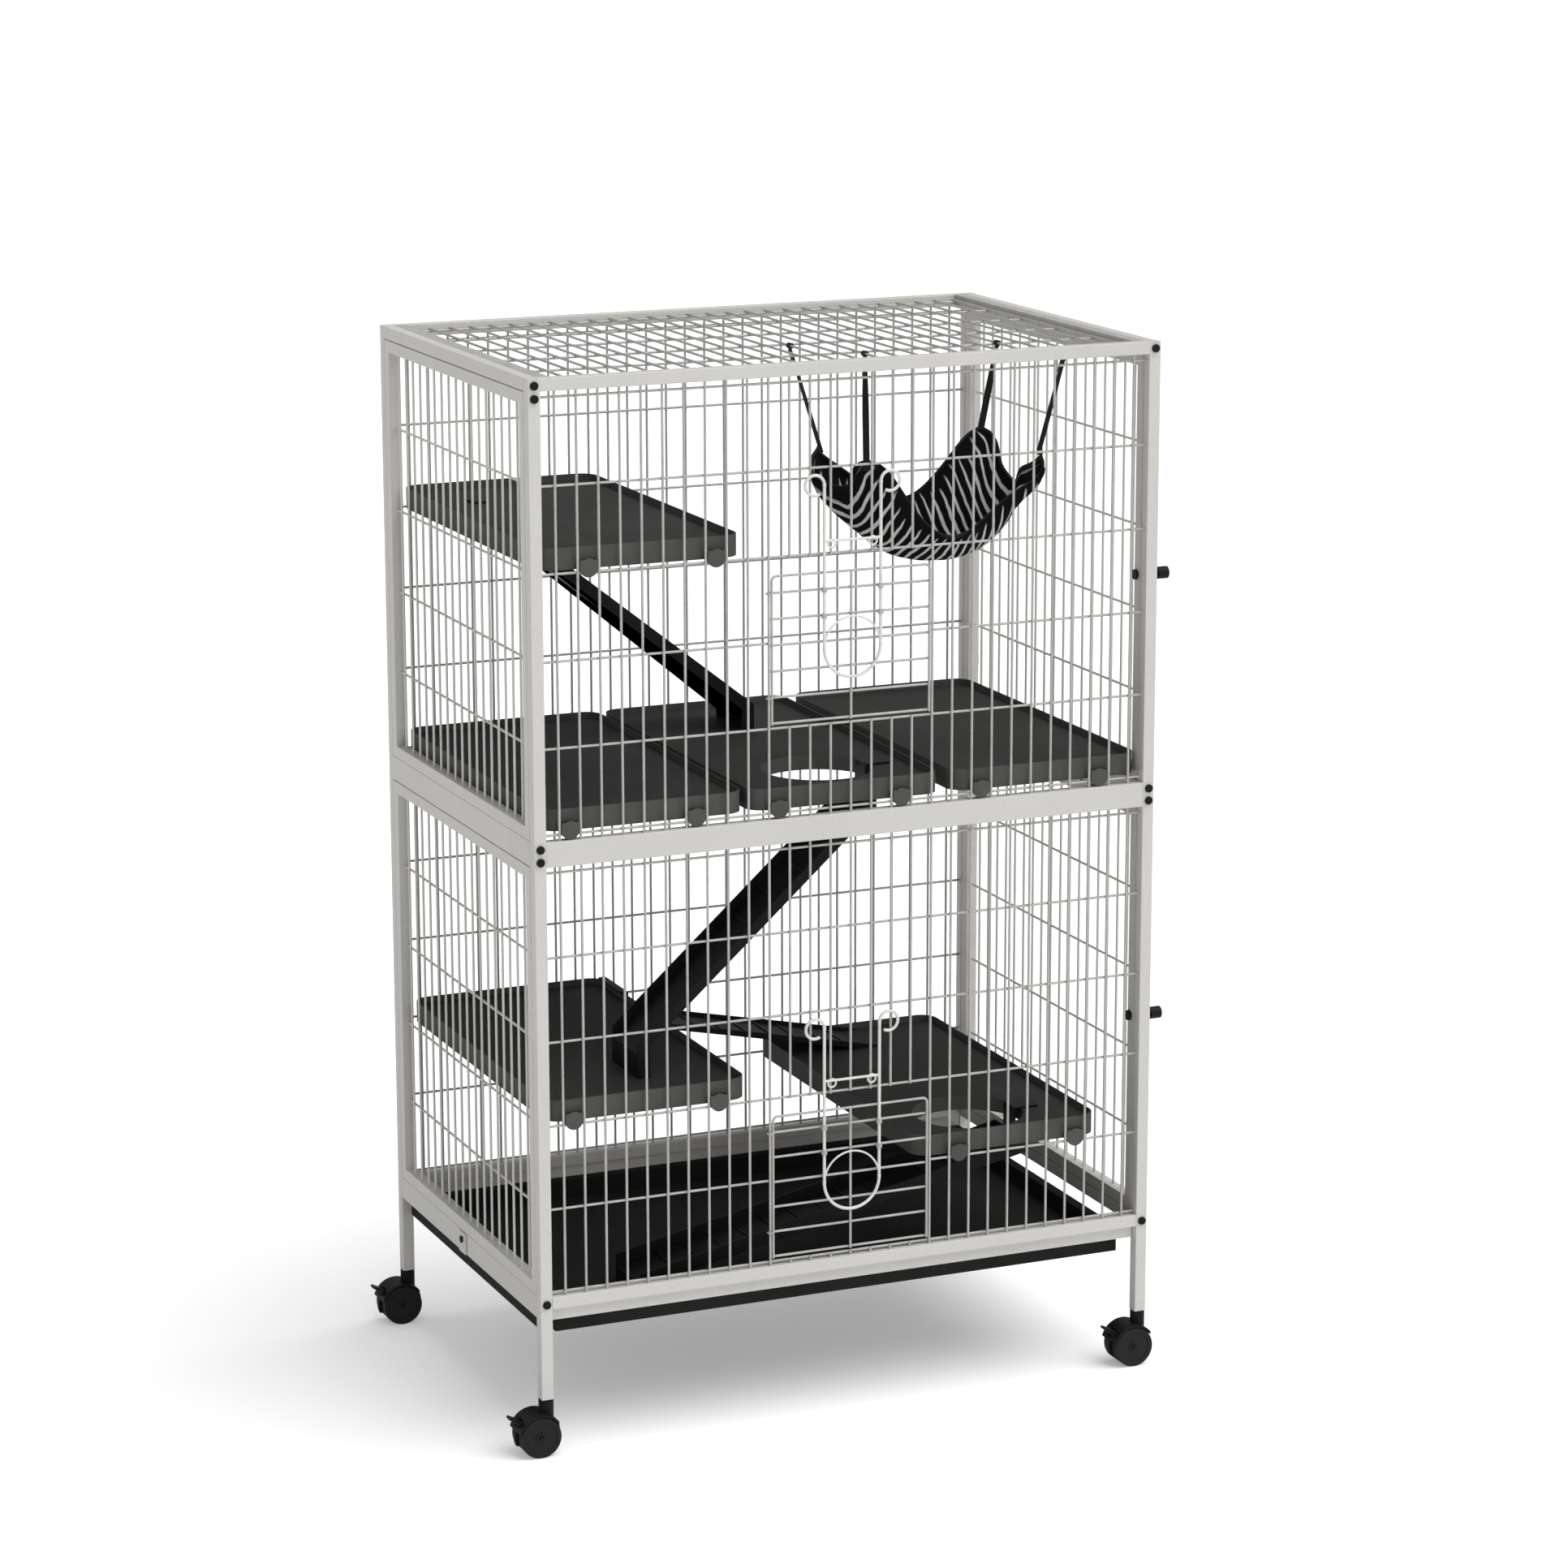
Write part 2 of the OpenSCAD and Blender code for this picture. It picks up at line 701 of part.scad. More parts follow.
module lower_right_shelf() {
  shelf(low_r_start, low_r_end, low_r_shelf, [54, 35], low_hole, no_slot);
}

// ---------- ramps ----------
// A ramp that runs down towards -x from its head: a deck between two side
// plates, a toe plate that stands on foot, and a tongue that hooks over hook_z.
// top is the upper edge at head_x, toe the height of the deck's end over foot.
module ramp(head_x, y0, top, slope, foot, toe, hook_z, lip) {
  run = (top - ramp_edge - toe - foot) / slope;
  end_x = head_x - run;
  deck = ramp_t / cos(atan(slope));
  ribs = floor((run - 40) / 34);
  union() {
    for (y = [y0, y0 + ramp_w - ramp_t])
      translate([0, y + ramp_t, 0]) rotate([90, 0, 0]) linear_extrude(ramp_t)
        polygon([[head_x, top], [end_x, foot + toe + ramp_edge], [end_x, foot],
                 [end_x + 16, foot], [end_x + 16, foot + toe + 16 * slope],
                 [head_x, top - ramp_edge]]);
    translate([0, y0 + ramp_w, 0]) rotate([90, 0, 0]) linear_extrude(ramp_w)
      polygon([[head_x, top - ramp_edge], [head_x, top - ramp_edge + deck],
               [end_x, foot + toe + deck], [end_x, foot + toe]]);
    translate([end_x, y0, foot]) cube([ramp_t, ramp_w, toe + deck]);
    // low ribs for grip
    for (i = [1:ribs])
      translate([head_x - 20 - 34 * i, y0 + 1,
                 top - ramp_edge + deck - slope * (20 + 34 * i) - 0.6])
        rotate([0, -atan(slope), 0]) cube([4, ramp_w - 2, 2.2]);
    translate([head_x - ramp_t, y0, top - ramp_edge]) cube([ramp_t, ramp_w, ramp_edge]);
    translate([head_x - ramp_t, y0 + (ramp_w - tongue_w) / 2, top - 1])
      cube([ramp_t, tongue_w, hook_z + 2.5 - top + 1]);
    translate([head_x - ramp_t, y0 + (ramp_w - tongue_w) / 2, hook_z])
      cube([lip, tongue_w, 2.5]);
  }
}

module upper_ramp() {
  color(black) mirror([1, 0, 0])
    ramp(ramp_t / 2 - up_slot[0], up_slot[1] - ramp_w / 2,
         shelf_top(up_shelf) - floor_t - 0.5, 0.79, shelf_top(up_level) + seat, 14,
         shelf_top(up_shelf) + seat, slot_lip + ramp_t);
}

module middle_ramp() {
  color(black)
    ramp(mid_hole[0] + head_out, mid_hole[1] - ramp_w / 2,
         up_level + shelf_rise - head_drop, 0.887, shelf_top(low_l_shelf) + seat, 26,
         shelf_top(up_level) + seat, rim_lip + ramp_t);
}

module lower_ramp() {
  color(black)
    ramp(low_hole[0] + head_out, low_hole[1] - ramp_w / 2,
         low_r_shelf + shelf_rise - head_drop, 0.209, pan_z + floor_t + 0.5, 22,
         shelf_top(low_r_shelf) + seat, rim_lip + ramp_t);
}

// flat ramp from the rim of the lower left shelf to the lower right shelf
module bridge_ramp() {
  x0 = low_l_end + 0.5;
  z0 = low_l_shelf - 12;
  y0 = shelf_back - ramp_w - 5;
  slope = 0.212;
  foot = shelf_top(low_r_shelf) + seat;
  x1 = x0 + (z0 - foot) / slope;
  rim = low_l_shelf + shelf_rise + shelf_h + seat;
  deck = ramp_t / cos(atan(slope));
  ribs = floor((x1 - x0 - 10) / 34);
  color(black) union() {
    translate([0, y0 + ramp_w, 0]) rotate([90, 0, 0]) linear_extrude(ramp_w)
      polygon([[x0, z0], [x1, foot], [x1 + deck / slope, foot], [x0, z0 + deck]]);
    for (y = [y0, y0 + ramp_w - ramp_t])
      translate([0, y + ramp_t, 0]) rotate([90, 0, 0]) linear_extrude(ramp_t)
        polygon([[x0, z0], [x1, foot], [x1 + 8 / slope, foot], [x0, z0 + 8]]);
    translate([x0, y0, z0]) cube([ramp_t, ramp_w, rim + 2.5 - z0]);
    translate([x0 - 7, y0 + 5, rim]) cube([8, ramp_w - 10, 2.5]);
    for (i = [1:ribs])
      translate([x0 + 34 * i, y0 + 1, z0 + deck - slope * 34 * i - 0.6])
        rotate([0, atan(slope), 0]) cube([4, ramp_w - 2, 2.2]);
  }
}

// ---------- hammock ----------
// corners: back left, front left, back right, front right
hk_bl = [36, -80, roof_z - 110];
hk_fl = [56, -175, roof_z - 119];
hk_br = [230, -125, roof_z - 96];
hk_fr = [262, -222, roof_z - 106];
hk_sag = (hk_bl[2] + hk_fl[2] + hk_br[2] + hk_fr[2]) / 4 - (roof_z - hammock_drop);

function arch(t) = 4 * t * (1 - t);

// the ends of the cloth hang nearly upright
function full(u, v) = u + 0.6 * pow(arch(v), 0.5) * ((1 - cos(180 * u)) / 2 - u);

function flat_pt(u, v) =
  (1 - u) * ((1 - v) * hk_fl + v * hk_bl) + u * ((1 - v) * hk_fr + v * hk_br);

function sag(u, v) =
  pow(arch(u), 1.1 - 0.45 * arch(v)) * ((1 - v) * 0.72 + v * 0.55) * hk_sag
  + arch(v) * ((1 - u) * 0.29 + u * 0.43) * hk_sag;

function cloth_pt(u, v, drop) =
  let (p = flat_pt(full(u, v), v), q = flat_pt(u, v)) [p[0], p[1], q[2] - sag(u, v) - drop];

module hammock() {
  nu = 26;
  nv = 12;
  row = nv + 1;
  top = [for (i = [0:nu], j = [0:nv]) cloth_pt(i / nu, j / nv, 0)];
  low = [for (i = [0:nu], j = [0:nv]) cloth_pt(i / nu, j / nv, cloth_t)];
  n = len(top);
  up = [for (i = [0:nu - 1], j = [0:nv - 1], t = [0, 1])
    t == 0 ? [i * row + j, i * row + j + 1, (i + 1) * row + j + 1]
           : [i * row + j, (i + 1) * row + j + 1, (i + 1) * row + j]];
  down = [for (f = up) [n + f[0], n + f[2], n + f[1]]];
  rim = concat(
    [for (i = [0:nu]) i * row + nv],
    [for (j = [nv - 1:-1:0]) nu * row + j],
    [for (i = [nu - 1:-1:0]) i * row],
    [for (j = [1:nv - 1]) j]);
  m = len(rim);
  skirt = [for (q = [0:m - 1], t = [0, 1])
    let (a = rim[q], b = rim[(q + 1) % m])
      t == 0 ? [a, n + a, n + b] : [a, n + b, b]];
  color(black) polyhedron(points = concat(top, low), faces = concat(up, down, skirt),
                          convexity = 6);
}

// flat strap from a corner of the cloth to a sleeve on a wire of the top
module strap(corner, k, y) {
  z1 = roof_z + tube / 2 + weld;
  a = [corner[0], corner[1], corner[2] + 0.3];
  b = [k * pitch, y, z1 - wire_d / 2 - 1.6];
  v = b - a;
  l = norm(v);
  union() {
    translate(a) rotate([0, acos(v[2] / l), atan2(v[1], v[0])])
      translate([-0.8, -4, 0]) cube([1.6, 8, l]);
    difference() {
      wire_y(k * pitch, y - 4, y + 4, z1, wire_d + 4);
      wire_y(k * pitch, y - 5, y + 5, z1, wire_d + 0.8);
    }
  }
}

module hammock_straps() {
  color(black) {
    strap(hk_bl, 0, -77);
    strap(hk_fl, 2, -178);
    strap(hk_br, 9, -155);
    strap(hk_fr, 11, -233);
  }
}

// ---------- casters ----------
// plug in the leg with the swivel pin under it
module caster_stems() {
  color(pin_grey) for (side = [-1, 1], end = [-1, 1])
    translate([side * post_x, end * post_y, 0]) {
      translate([0, 0, leg_z]) translate([-plug_d / 2, -plug_d / 2, 0])
        cube([plug_d, plug_d, 26]);
      translate([0, 0, leg_z - 0.4]) cylinder(d = tube - 1, h = 0.4);
      translate([0, 0, leg_z - 15]) cylinder(d = stem_d, h = 16);
    }
}

// swivelling housing: hub round the pin, web, hood over the wheels, axle, brake lugs
module caster_body(side, end) {
  top = leg_z - 0.8;
  hood_w = web_w + 2 * wheel_w + 4 * wheel_gap;
  out_r = wheel_d / 2 + hood_gap + hood_t;
  room_w = wheel_w + 2 * wheel_gap + 4;
  color(black) translate([side * post_x, end * post_y, 0]) union() {
    difference() {
      union() {
        translate([0, 0, 44]) cylinder(d = hub_d, h = top - 44);
        translate([-trail, hood_w / 2, axle_z]) rotate([90, 0, 0])
          cylinder(r = out_r, h = hood_w);
        wire_y(brake_x, -brake_w / 2 - 3.4, brake_w / 2 + 3.4, brake_z, 7.4);
      }
      // room for the two wheels
      for (s = [-1, 1])
        translate([-trail, s * (web_w + room_w) / 2, axle_z]) rotate([90, 0, 0])
          cylinder(r = wheel_d / 2 + hood_gap, h = room_w, center = true);
      // the hood covers only the upper part, the web reaches down to the axle
      for (s = [0, 1])
        translate([-trail - 40, s * (40 + web_w) - 40 - web_w / 2, -1])
          cube([80, 40, axle_z + 8 + 1]);
      translate([-trail - 40, -20, -9]) cube([80, 40, 23]);
      // on the stem's side the hood ends at the hub
      for (s = [0, 1])
        translate([hub_d / 2 + 1, s * (40 + web_w) - 40 - web_w / 2, -1])
          cube([40, 40, 50]);
      translate([0, 0, leg_z - 15.6]) cylinder(d = stem_d + 0.8, h = 30);
      // notch for the brake lever
      translate([brake_x - 10, -brake_w / 2 - 0.4, brake_z - 5])
        cube([14.5, brake_w + 0.8, 10.5]);
    }
    wire_y(-trail, -hood_w / 2 - 1, hood_w / 2 + 1, axle_z, axle_d);
    wire_y(brake_x, -brake_w / 2 - 3, brake_w / 2 + 3, brake_z, 2.4);
  }
}

module front_left_caster() { caster_body(-1, -1); }

module front_right_caster() { caster_body(1, -1); }

module back_left_caster() { caster_body(-1, 1); }

module back_right_caster() { caster_body(1, 1); }

module caster_wheels(side, end) {
  color(black) translate([side * post_x - trail, end * post_y, axle_z])
    rotate([90, 0, 0]) for (s = [-1, 1])
      translate([0, 0, s * (web_w / 2 + wheel_gap + wheel_w / 2)]) difference() {
        cylinder(d = wheel_d, h = wheel_w, center = true, $fn = 64);
        cylinder(d = axle_d + 0.8, h = wheel_w + 1, center = true);
        translate([0, 0, s * (wheel_w / 2 + 0.5)]) difference() {
          cylinder(d = wheel_d - 12, h = 3, center = true);
          cylinder(d = axle_d + 8, h = 4, center = true);
        }
      }
}

module front_left_wheels() { caster_wheels(-1, -1); }

module front_right_wheels() { caster_wheels(1, -1); }

module back_left_wheels() { caster_wheels(-1, 1); }

module back_right_wheels() { caster_wheels(1, 1); }

module brake_lever(side, end) {
  color(black) translate([side * post_x + brake_x, end * post_y, brake_z])
    difference() {
      union() {
        wire_y(0, -brake_w / 2, brake_w / 2, 0, 6);
        rotate([0, 25, 0]) translate([-14, -brake_w / 2, 0])
          cube([14, brake_w, 3]);
      }
      wire_y(0, -brake_w, brake_w, 0, 3.2);
    }
}

module front_left_brake() { brake_lever(-1, -1); }

module front_right_brake() { brake_lever(1, -1); }

module back_left_brake() { brake_lever(-1, 1); }

module back_right_brake() { brake_lever(1, 1); }

front_left_post();
front_right_post();
back_left_post();
back_right_post();
front_top_rail();
front_middle_rail();
front_bottom_rail();
back_top_rail();
back_middle_rail();
back_bottom_rail();
left_side_rails();
right_side_rails();
frame_bolts();
left_upper_panel();
left_lower_panel();
front_upper_grid();
front_lower_grid();
back_upper_grid();
back_lower_grid();
top_grid();
right_upper_door();
right_lower_door();
side_door_hinges();
upper_door_knob();
lower_door_knob();
upper_small_door();
lower_small_door();
upper_ring_latch();
lower_ring_latch();
floor_tray();
tray_clip();
tray_runners();
upper_left_shelf();
middle_left_shelf();
middle_centre_shelf();
middle_right_shelf();
lower_left_shelf();
lower_right_shelf();
upper_ramp();
middle_ramp();
bridge_ramp();
lower_ramp();
hammock();
hammock_straps();
caster_stems();
front_left_caster();
front_right_caster();
back_left_caster();
back_right_caster();
front_left_wheels();
front_right_wheels();
back_left_wheels();
back_right_wheels();
front_left_brake();
front_right_brake();
back_left_brake();
back_right_brake();
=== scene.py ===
"""Looks of the ferret cage: painted tubes, coated wire, moulded shelves, cloth and casters."""

import json  # noqa: E402
import logging  # noqa: E402
import math  # noqa: E402
from collections.abc import Callable, Iterable  # noqa: E402
from dataclasses import dataclass, field  # noqa: E402
from enum import Enum  # noqa: E402

import bmesh  # noqa: E402
import bpy  # noqa: E402
from mathutils import Matrix, Quaternion, Vector, noise  # noqa: E402

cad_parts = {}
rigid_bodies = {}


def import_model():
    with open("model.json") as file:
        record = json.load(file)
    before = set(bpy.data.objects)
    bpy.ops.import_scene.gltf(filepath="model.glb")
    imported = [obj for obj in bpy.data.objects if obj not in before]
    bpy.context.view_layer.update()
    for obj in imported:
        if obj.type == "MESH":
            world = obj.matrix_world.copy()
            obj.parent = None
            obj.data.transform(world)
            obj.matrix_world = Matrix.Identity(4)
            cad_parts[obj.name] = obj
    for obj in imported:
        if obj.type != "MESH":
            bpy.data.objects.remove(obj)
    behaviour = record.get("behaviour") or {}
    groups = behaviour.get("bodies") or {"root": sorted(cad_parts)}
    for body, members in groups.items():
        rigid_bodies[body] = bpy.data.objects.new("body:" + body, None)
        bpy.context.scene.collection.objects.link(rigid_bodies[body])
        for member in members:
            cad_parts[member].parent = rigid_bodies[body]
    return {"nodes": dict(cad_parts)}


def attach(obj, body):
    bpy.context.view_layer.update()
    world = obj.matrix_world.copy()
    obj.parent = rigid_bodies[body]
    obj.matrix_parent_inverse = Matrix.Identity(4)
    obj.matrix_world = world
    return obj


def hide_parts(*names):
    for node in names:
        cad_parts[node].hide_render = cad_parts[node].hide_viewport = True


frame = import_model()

log = logging.getLogger("cage")
MM = 0.001
Trio = tuple[float, float, float]
Colour = Trio


# ---------- shader maths ----------
class Value:
    """A value inside a shader, so that sums on it are written as Python."""

    def __init__(self, graph: "Graph", socket: bpy.types.NodeSocket) -> None:
        """Keeps the graph and the output socket that the value comes from."""
        self.graph = graph
        self.socket = socket

    def _math(self, operation: str, *others: "Value | float") -> "Value":
        """Adds one Math node.

        Args:
            operation: Name of the node's operation.
            others: The second and third value.

        Returns:
            The node's result.
        """
        given = dict(enumerate((self, *others)))
        return self.graph.add("ShaderNodeMath", {"operation": operation}, given)

    def __add__(self, other: "Value | float") -> "Value":
        """Returns the sum."""
        return self._math("ADD", other)

    __radd__ = __add__

    def __sub__(self, other: "Value | float") -> "Value":
        """Returns the difference."""
        return self._math("SUBTRACT", other)

    def __rsub__(self, other: float) -> "Value":
        """Returns a number less this value."""
        return (self * -1.0) + other

    def __mul__(self, other: "Value | float") -> "Value":
        """Returns the product."""
        return self._math("MULTIPLY", other)

    __rmul__ = __mul__

    def __truediv__(self, other: "Value | float") -> "Value":
        """Returns the quotient."""
        return self._math("DIVIDE", other)

    def fraction(self) -> "Value":
        """Returns the part after the point."""
        return self._math("FRACT")

    def floor(self) -> "Value":
        """Returns the whole part."""
        return self._math("FLOOR")

    def size(self) -> "Value":
        """Returns the value without its sign."""
        return self._math("ABSOLUTE")

    def wave(self) -> "Value":
        """Returns the sine, in radians."""
        return self._math("SINE")

    def above(self, edge: "Value | float", soft: float) -> "Value":
        """Returns 0 under an edge and 1 over it.

        Args:
            edge: Where the step is.
            soft: Width of the slope from 0 to 1.

        Returns:
            The soft step.
        """
        step = (self - edge) / soft + 0.5
        return step._math("MINIMUM", 1.0)._math("MAXIMUM", 0.0)


class Graph:
    """One material's node tree, with a single way to add a node."""

    def __init__(self, name: str) -> None:
        """Makes a material of that name with an empty Principled shader."""
        self.material = bpy.data.materials.new(name)
        self.material.use_nodes = True
        self.tree = self.material.node_tree
        self.shader = self.tree.nodes["Principled BSDF"]

    def add(
        self,
        kind: str,
        settings: dict | None = None,
        inputs: dict | None = None,
        output: int | str = 0,
    ) -> Value:
        """Adds one node.

        Args:
            kind: The node's type.
            settings: Its settings, by name.
            inputs: Values or links of its sockets, by number or name.
            output: The socket to hand back.

        Returns:
            The node's output as a value.
        """
        node = self.tree.nodes.new(kind)
        for key, value in (settings or {}).items():
            setattr(node, key, value)
        for key, value in (inputs or {}).items():
            self.feed(node.inputs[key], value)
        return Value(self, node.outputs[output])

    def feed(self, socket: bpy.types.NodeSocket, value: object) -> None:
        """Links a value to a socket, or sets a plain number or colour on it."""
        if isinstance(value, Value):
            self.tree.links.new(value.socket, socket)
        elif isinstance(value, tuple) and len(value) == 3 and socket.type == "RGBA":
            socket.default_value = (*value, 1.0)
        else:
            socket.default_value = value

    def place(self, stretch: Trio = (1.0, 1.0, 1.0)) -> Value:
        """Returns the object coordinates, stretched along the three axes."""
        spot = self.add("ShaderNodeTexCoord", output="Object")
        if stretch == (1.0, 1.0, 1.0):
            return spot
        return self.add("ShaderNodeMapping", {}, {"Vector": spot, "Scale": stretch})

    def level(self) -> Value:
        """Returns 1 on faces that look straight up and 0 on upright ones."""
        facing = self.add("ShaderNodeTexCoord", output="Normal")
        parts = self.add("ShaderNodeSeparateXYZ", {}, {0: facing}, output=2)
        return parts.above(0.75, 0.3)

    def cloud(self, scale: float, detail: float = 3.0, rough: float = 0.5,
              where: Value | None = None) -> Value:
        """Adds a noise texture.

        Args:
            scale: Features per metre.
            detail: Number of finer layers.
            rough: Share of the finer layers.
            where: Coordinates, or the object's own.

        Returns:
            The noise, from 0 to 1.
        """
        sockets = {"Vector": where or self.place(), "Scale": scale,
                   "Detail": detail, "Roughness": rough}
        return self.add("ShaderNodeTexNoise", {}, sockets)

    def cells(self, scale: float) -> Value:
        """Returns the distance to the nearest cell centre of a Voronoi pattern."""
        return self.add("ShaderNodeTexVoronoi", {}, {"Vector": self.place(), "Scale": scale})

    def blend(self, share: Value, first: Colour | Value, second: Colour | Value) -> Value:
        """Returns first where share is 0 and second where it is 1."""
        return self.add("ShaderNodeMix", {"data_type": "RGBA"},
                        {0: share, 6: first, 7: second}, output=2)

    def bump(self, height: Value, strength: float, depth: float) -> None:
        """Feeds a height to the shader's normal, depth in metres."""
        normal = self.add("ShaderNodeBump", {}, {"Height": height, "Strength": strength,
                                                 "Distance": depth})
        self.feed(self.shader.inputs["Normal"], normal)

    def dress(self, **sockets: object) -> None:
        """Sets or links sockets of the Principled shader, with _ for a space."""
        for key, value in sockets.items():
            self.feed(self.shader.inputs[key.replace("_", " ")], value)


# ---------- finishes ----------
@dataclass(frozen=True)
class PowderCoat:
    """Baked powder paint on steel: fine orange peel and a faint cloudy tone."""

    name: str = "powder_coat"
    light: Colour = (0.655, 0.643, 0.618)
    dark: Colour = (0.585, 0.573, 0.548)
    gloss: float = 0.46
    peel: float = 520.0
    peel_depth: float = 0.00012

    def make(self) -> bpy.types.Material:
        """Returns the material."""
        g = Graph(self.name)
        cloudy = g.cloud(9.0, 4.0, 0.6) * 0.55 + g.cloud(240.0, 2.0) * 0.45
        tone = g.blend(cloudy.above(0.5, 0.5), self.dark, self.light)
        rubbed = g.cloud(34.0, 5.0, 0.7).above(0.64, 0.08)
        g.dress(
            Base_Color=g.blend(rubbed * 0.18, tone, (0.5, 0.49, 0.47)),
            Roughness=rubbed * 0.12 + cloudy * 0.1 + (self.gloss - 0.05),
            Metallic=0.0,
            Specular_IOR_Level=0.4,
        )
        g.bump(g.cloud(self.peel, 2.0, 0.4) + g.cloud(1700.0, 1.0) * 0.3, 0.35, self.peel_depth)
        return g.material


@dataclass(frozen=True)
class CoatedWire:
    """Drawn steel wire under a thin grey coat, with small runs of paint."""

    name: str = "coated_wire"
    light: Colour = (0.53, 0.521, 0.502)
    dark: Colour = (0.39, 0.383, 0.367)
    gloss: float = 0.36
    metal: float = 0.15

    def make(self) -> bpy.types.Material:
        """Returns the material."""
        g = Graph(self.name)
        runs = g.cloud(60.0, 3.0, 0.6) * 0.6 + g.cloud(700.0, 2.0) * 0.4
        g.dress(
            Base_Color=g.blend(runs.above(0.5, 0.4), self.dark, self.light),
            Roughness=runs * 0.16 + self.gloss,
            Metallic=self.metal,
        )
        g.bump(g.cloud(900.0, 2.0), 0.3, 0.0001)
        return g.material


@dataclass(frozen=True)
class PlatedSteel:
    """Zinc-plated steel of hinge pins and stems, with a brushed grain."""

    name: str = "plated_steel"
    light: Colour = (0.62, 0.62, 0.61)
    dark: Colour = (0.42, 0.42, 0.42)

    def make(self) -> bpy.types.Material:
        """Returns the material."""
        g = Graph(self.name)
        grain = g.cloud(90.0, 4.0, 0.6, g.place((1.0, 1.0, 14.0)))
        g.dress(
            Base_Color=g.blend(grain.above(0.5, 0.5), self.dark, self.light),
            Roughness=grain * 0.2 + 0.24,
            Metallic=0.9,
        )
        g.bump(grain, 0.2, 0.00008)
        return g.material


@dataclass(frozen=True)
class MouldedPlastic:
    """Injection-moulded plastic with a fine leather grain and light scuffs, and, where asked, a
    painted shade that darkens the faces looking up.
    """

    name: str
    light: Colour = (0.1, 0.099, 0.096)
    dark: Colour = (0.07, 0.069, 0.067)
    gloss: float = 0.68
    grain: float = 780.0
    grain_depth: float = 0.00016
    scuffs: float = 0.5
    specular: float = 0.1
    # Share of the dark tone given to faces that look up, as painted shade; 1 paints none.
    painted_top_shade: float = 1.0

    def make(self) -> bpy.types.Material:
        """Returns the material."""
        g = Graph(self.name)
        pebble = g.cells(self.grain)
        cloudy = g.cloud(14.0, 4.0, 0.55)
        scratch = g.cloud(30.0, 6.0, 0.75, g.place((1.0, 7.0, 3.0))).above(0.66, 0.06)
        dust = g.cloud(5.5, 5.0, 0.65).above(0.6, 0.3)
        tone = g.blend(cloudy.above(0.5, 0.6), self.dark, self.light)
        # Painted shade: faces that look up are darkened below the upright lips, standing in for
        # how the light falls on tops and lips.
        if self.painted_top_shade < 1.0:
            shaded_top_colour = tuple(c * self.painted_top_shade for c in self.dark)
            tone = g.blend(g.level(), tone, shaded_top_colour)
        brighter = 2.2 if self.painted_top_shade == 1.0 else 1.5
        worn = tuple(min(1.0, c * brighter) for c in self.light)
        g.dress(
            Base_Color=g.blend((scratch * 0.5 + dust * 0.22) * self.scuffs, tone, worn),
            Roughness=cloudy * 0.14 + scratch * 0.1 + pebble * 0.08 + (self.gloss - 0.1),
            Specular_IOR_Level=self.specular,
        )
        g.bump(pebble + g.cloud(2600.0, 1.0) * 0.3, 0.4, self.grain_depth)
        return g.material


@dataclass(frozen=True)
class StripedCloth:
    """Soft black cloth printed with uneven light stripes across it.

    The stripes run across the sheet and follow its own UV map: U along the
    hammock from left to right, V from the front edge to the back one.
    """

    name: str = "striped_cloth"
    ink: Colour = (0.0035, 0.0035, 0.0038)
    stripe: Colour = (0.6, 0.595, 0.58)
    count: float = 24.0
    slant: float = 0.9
    half_width: float = 0.17
    wander: float = 1.7
    waver: float = 0.35

    def make(self) -> bpy.types.Material:
        """Returns the material."""
        g = Graph(self.name)
        uv = g.add("ShaderNodeTexCoord", output="UV")
        along = g.add("ShaderNodeSeparateXYZ", {}, {0: uv})
        across = Value(g, along.socket.node.outputs[1])
        flow = g.cloud(2.6, 2.0, 0.5, uv) - 0.5
        fine = g.cloud(9.0, 2.0, 0.5, uv) - 0.5
        course = along * self.count + across * self.slant
        course = course + flow * self.wander + fine * self.waver
        row = course.floor()
        draw = g.add("ShaderNodeTexWhiteNoise", {"noise_dimensions": "1D"}, {"W": row})
        other = g.add("ShaderNodeTexWhiteNoise", {"noise_dimensions": "1D"},
                      {"W": row + 41.0})
        start = draw * 0.05 + 0.025
        end = 0.975 - other * 0.06
        reach = across.above(start, 0.03) * (1.0 - across.above(end, 0.03))
        point = across.above(start + 0.06, 0.14) * (1.0 - across.above(end - 0.06, 0.14))
        off = (course.fraction() - 0.5).size()
        breadth = (point * 0.55 + 0.45) * (other * 0.4 + 0.8) * self.half_width
        line = (1.0 - off.above(breadth, 0.06)) * reach
        rim = along.above(0.03, 0.02) * (1.0 - along.above(0.97, 0.02))
        nap = g.cloud(900.0, 3.0, 0.7)
        shade = g.blend(nap, self.ink, tuple(c * 2.2 for c in self.ink))
        g.dress(
            Base_Color=g.blend(line * rim * (nap * 0.3 + 0.85), shade, self.stripe),
            Roughness=nap * 0.1 + 0.86,
            Specular_IOR_Level=0.08,
            Sheen_Weight=0.03,
            Sheen_Roughness=0.4,
        )
        warp = (along * 2400.0).wave() * 0.5 + (across * 1500.0).wave() * 0.5
        g.bump(warp * 0.25 + nap, 0.6, 0.00035)
        return g.material


